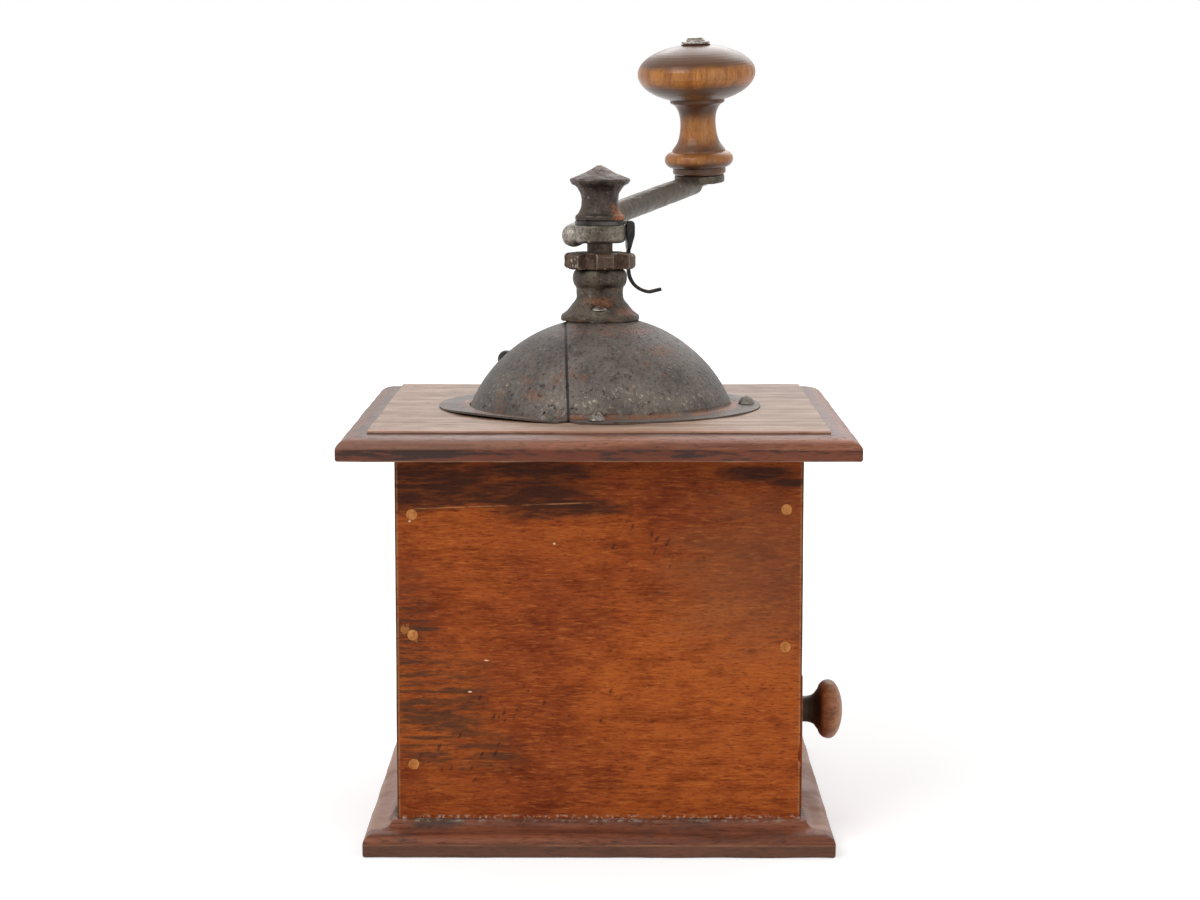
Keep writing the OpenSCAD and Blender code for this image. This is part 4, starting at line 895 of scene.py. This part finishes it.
# %% Worn boards
def cut_across(piece, axis, spacing):
    """Cuts all faces at regular places along an axis, so that a long face can bend."""
    low, high = (f(v.co[axis] for v in piece.data.vertices) for f in (min, max))
    make_active(piece)
    bpy.ops.object.mode_set(mode="EDIT")
    steps = int((high - low) / spacing)
    for i in range(1, steps):
        place, normal = [0, 0, 0], [0, 0, 0]
        place[axis] = low + (high - low) * i / steps
        normal[axis] = 1
        bpy.ops.mesh.select_all(action="SELECT")
        bpy.ops.mesh.bisect(plane_co=place, plane_no=normal)
    bpy.ops.object.mode_set(mode="OBJECT")


def push_by_noise(piece, cell, depth, seed=0.0):
    """Moves each point along its normal by slow noise with the given cell size, in metres."""
    places = [vertex.co.copy() for vertex in piece.data.vertices]
    normals = [vertex.normal.copy() for vertex in piece.data.vertices]
    offset = Vector((seed, seed, seed))
    for vertex, place, normal in zip(piece.data.vertices, places, normals):
        vertex.co = place + normal * noise.noise(place / cell + offset) * depth
    piece.data.update()


def worn_board(node, material, round_by=0.6 * MM, spacing=3 * MM, depth=0.2 * MM, across=(0, 1)):
    piece = copy_of(node)
    bevel = piece.modifiers.new("rounding", "BEVEL")
    bevel.width = round_by
    bevel.segments = 3
    bevel.limit_method = "ANGLE"
    bevel.angle_limit = math.radians(50)
    apply_modifiers(piece)
    for axis in across:
        cut_across(piece, axis, spacing)
    push_by_noise(piece, 14 * MM, depth, seed=len(node))
    push_by_noise(piece, 4 * MM, depth * 0.35, seed=len(node) + 9)
    shade_smooth(piece, 50)
    finish_piece(piece, node, material)
    return piece


worn_board("top_board", top_wood)
worn_board("base_board", base_wood)
for panel in ("near_panel", "far_panel"):
    worn_board(panel, panel_wood, round_by=0.5 * MM, depth=0.1 * MM, across=(0, 2))
for panel in ("back_panel", "front_panel", "drawer_front"):
    worn_board(panel, end_panel_wood, round_by=0.4 * MM, depth=0.1 * MM, across=(1, 2))

# %% [markdown]
# Castings and forgings have a skin: slightly lumpy, with soft edges. The measured part is rebuilt
# from cubes of about a quarter of a millimetre, which gives it an even net of points. Smoothing
# rounds its edges, and noise then moves the points. Two parts change a little more: the neck's foot
# is drawn out to a bell, and the heads of the flange's screws stand up taller.

# %% Worn iron
def worn_iron(node, material, voxel=0.3 * MM, smoothing=5, cell=2.2 * MM, depth=0.12 * MM, reshape=None):
    piece = copy_of(node)
    remesh = piece.modifiers.new("even_net", "REMESH")
    remesh.mode = "VOXEL"
    remesh.voxel_size = voxel
    smooth = piece.modifiers.new("soft_edges", "SMOOTH")
    smooth.factor = 0.5
    smooth.iterations = smoothing
    apply_modifiers(piece)
    push_by_noise(piece, cell, depth, seed=len(node))
    if reshape:
        for vertex in piece.data.vertices:
            vertex.co.z = reshape(vertex.co)
    for polygon in piece.data.polygons:
        polygon.use_smooth = True
    finish_piece(piece, node, material)
    return piece


NECK_FOOT = {"z": 153.28 * MM, "inner": 7.2 * MM, "outer": 12.3 * MM, "flare": 1.4 * MM}
RIVET = {"out": 9.3 * MM, "seat": 2.6 * MM, "fade": 2.0 * MM}
SCREW_HEADS = {"z": DOME_FOOT_Z, "taller": 1.7}


def flared_foot(place):
    """Height of a point once the neck's foot is drawn out to a bell, save under the rivets' heads."""
    height = place.z - NECK_FOOT["z"]
    share = (math.hypot(place.x, place.y) - NECK_FOOT["inner"]) / (NECK_FOOT["outer"] - NECK_FOOT["inner"])
    share = min(max(share, 0), 1)
    rises = min(max((height - 1 * MM) / (1.5 * MM), 0), 1)
    falls = min(max((10 * MM - height) / (3.5 * MM), 0), 1)
    from_rivet = math.hypot(place.x, abs(place.y) - RIVET["out"])
    clear = min(max((from_rivet - RIVET["seat"]) / RIVET["fade"], 0), 1)
    return place.z + NECK_FOOT["flare"] * math.cos(1.3 * math.pi * share) * rises * falls * clear


def tall_head(place):
    """Height of a point once the screw heads stand up as high as the old ones do."""
    above = max(place.z - SCREW_HEADS["z"], 0)
    return place.z + above * (SCREW_HEADS["taller"] - 1)


worn_iron("neck", neck_iron, depth=0.2 * MM, reshape=flared_foot)
worn_iron("adjusting_wheel", wheel_iron, voxel=0.22 * MM, smoothing=3, cell=1.6 * MM)
worn_iron("crank", hub_steel, smoothing=18)
worn_iron("finial_nut", finial_iron, cell=1.8 * MM, depth=0.16 * MM)
worn_iron("clip_leaf", black_spring, voxel=0.2 * MM, smoothing=3, depth=0.06 * MM)
for small_part, finish in (("handle_washer", bright_steel), ("handle_axle", bright_steel),
                           ("neck_rivets", bright_steel)):
    worn_iron(small_part, finish, voxel=0.18 * MM, smoothing=2, cell=1.1 * MM, depth=0.12 * MM)
worn_iron("flange_screws", screw_steel, voxel=0.15 * MM, smoothing=1, cell=1.1 * MM, depth=0.16 * MM,
          reshape=tall_head)

# %% [markdown]
# The dome is thin sheet, beaten by hand. It is too thin to rebuild from cubes, so it keeps its own
# net of points with some more cuts, and slow noise gives it shallow dents. The loose half of its
# flange has been lifted off the board at the front, and the edge is drawn in where the seam ends.

# %% Beaten sheet
FLANGE_LIFT = 0.9 * MM
LIFTED = (math.radians(-165), math.radians(-102))
NOTCH = {"x": -9.2 * MM, "half": 3.4 * MM, "deep": 4.2 * MM, "from": 44 * MM, "to": 50.4 * MM}


def lift_at(place):
    """How far the loose half of the flange stands off the board at a place."""
    angle = math.atan2(place.y, place.x)
    along = (angle - LIFTED[0]) / (LIFTED[1] - LIFTED[0])
    if not 0 < along < 1:
        return 0
    outward = min(max((math.hypot(place.x, place.y) - 42 * MM) / (8 * MM), 0), 1)
    return FLANGE_LIFT * math.sin(math.pi * along) * outward


def notched(place):
    """A place near the flange's edge, drawn in towards the dome where the seam ends."""
    out = math.hypot(place.x, place.y)
    beside = max(1 - abs(place.x - NOTCH["x"]) / NOTCH["half"], 0)
    if place.y > 0 or out < NOTCH["from"] or place.z > DOME_FOOT_Z + 1 * MM:
        return place
    inward = NOTCH["deep"] * beside * (out - NOTCH["from"]) / (NOTCH["to"] - NOTCH["from"])
    return Vector((place.x, place.y * (1 - inward / out), place.z))


def beaten_sheet(node, depth, lifted=False):
    piece = copy_of(node)
    for axis in (0, 1):
        cut_across(piece, axis, 1.6 * MM)
    push_by_noise(piece, 12 * MM, depth, seed=3)
    for vertex in piece.data.vertices:
        vertex.co = notched(vertex.co)
        if lifted:
            vertex.co.z += lift_at(vertex.co)
    shade_smooth(piece, 40)
    finish_piece(piece, node, dome_steel)
    return piece


beaten_sheet("hopper_dome", 0.15 * MM)
beaten_sheet("hopper_rim", 0.05 * MM, lifted=True)
beaten_sheet("hopper_door", 0.05 * MM)

# %% [markdown]
# The parts that keep their measured mesh only need a finish.

# %% Finishes on the measured parts
FINISHES = {
    peg_wood: ["panel_pegs"],
    drawer_wood: ["drawer_near_side", "drawer_far_side", "drawer_bottom"],
    drawer_end_wood: ["drawer_back"],
    knob_wood: ["drawer_knob"],
    handle_wood: ["handle_knob"],
    spindle_steel: ["spindle", "burr_nut"],
    burr_iron: ["outer_burr", "inner_burr", "lower_bridge"],
    screw_steel: ["base_screws", "burr_screws", "bridge_screws", "drawer_nails"],
    black_spring: ["clip_eye", "door_button"],
}
for finish, nodes in FINISHES.items():
    for node in nodes:
        mesh = NODES[node].data
        mesh.materials.clear()
        mesh.materials.append(finish)
print(sum(len(nodes) for nodes in FINISHES.values()), "measured parts finished")

# %% [markdown]
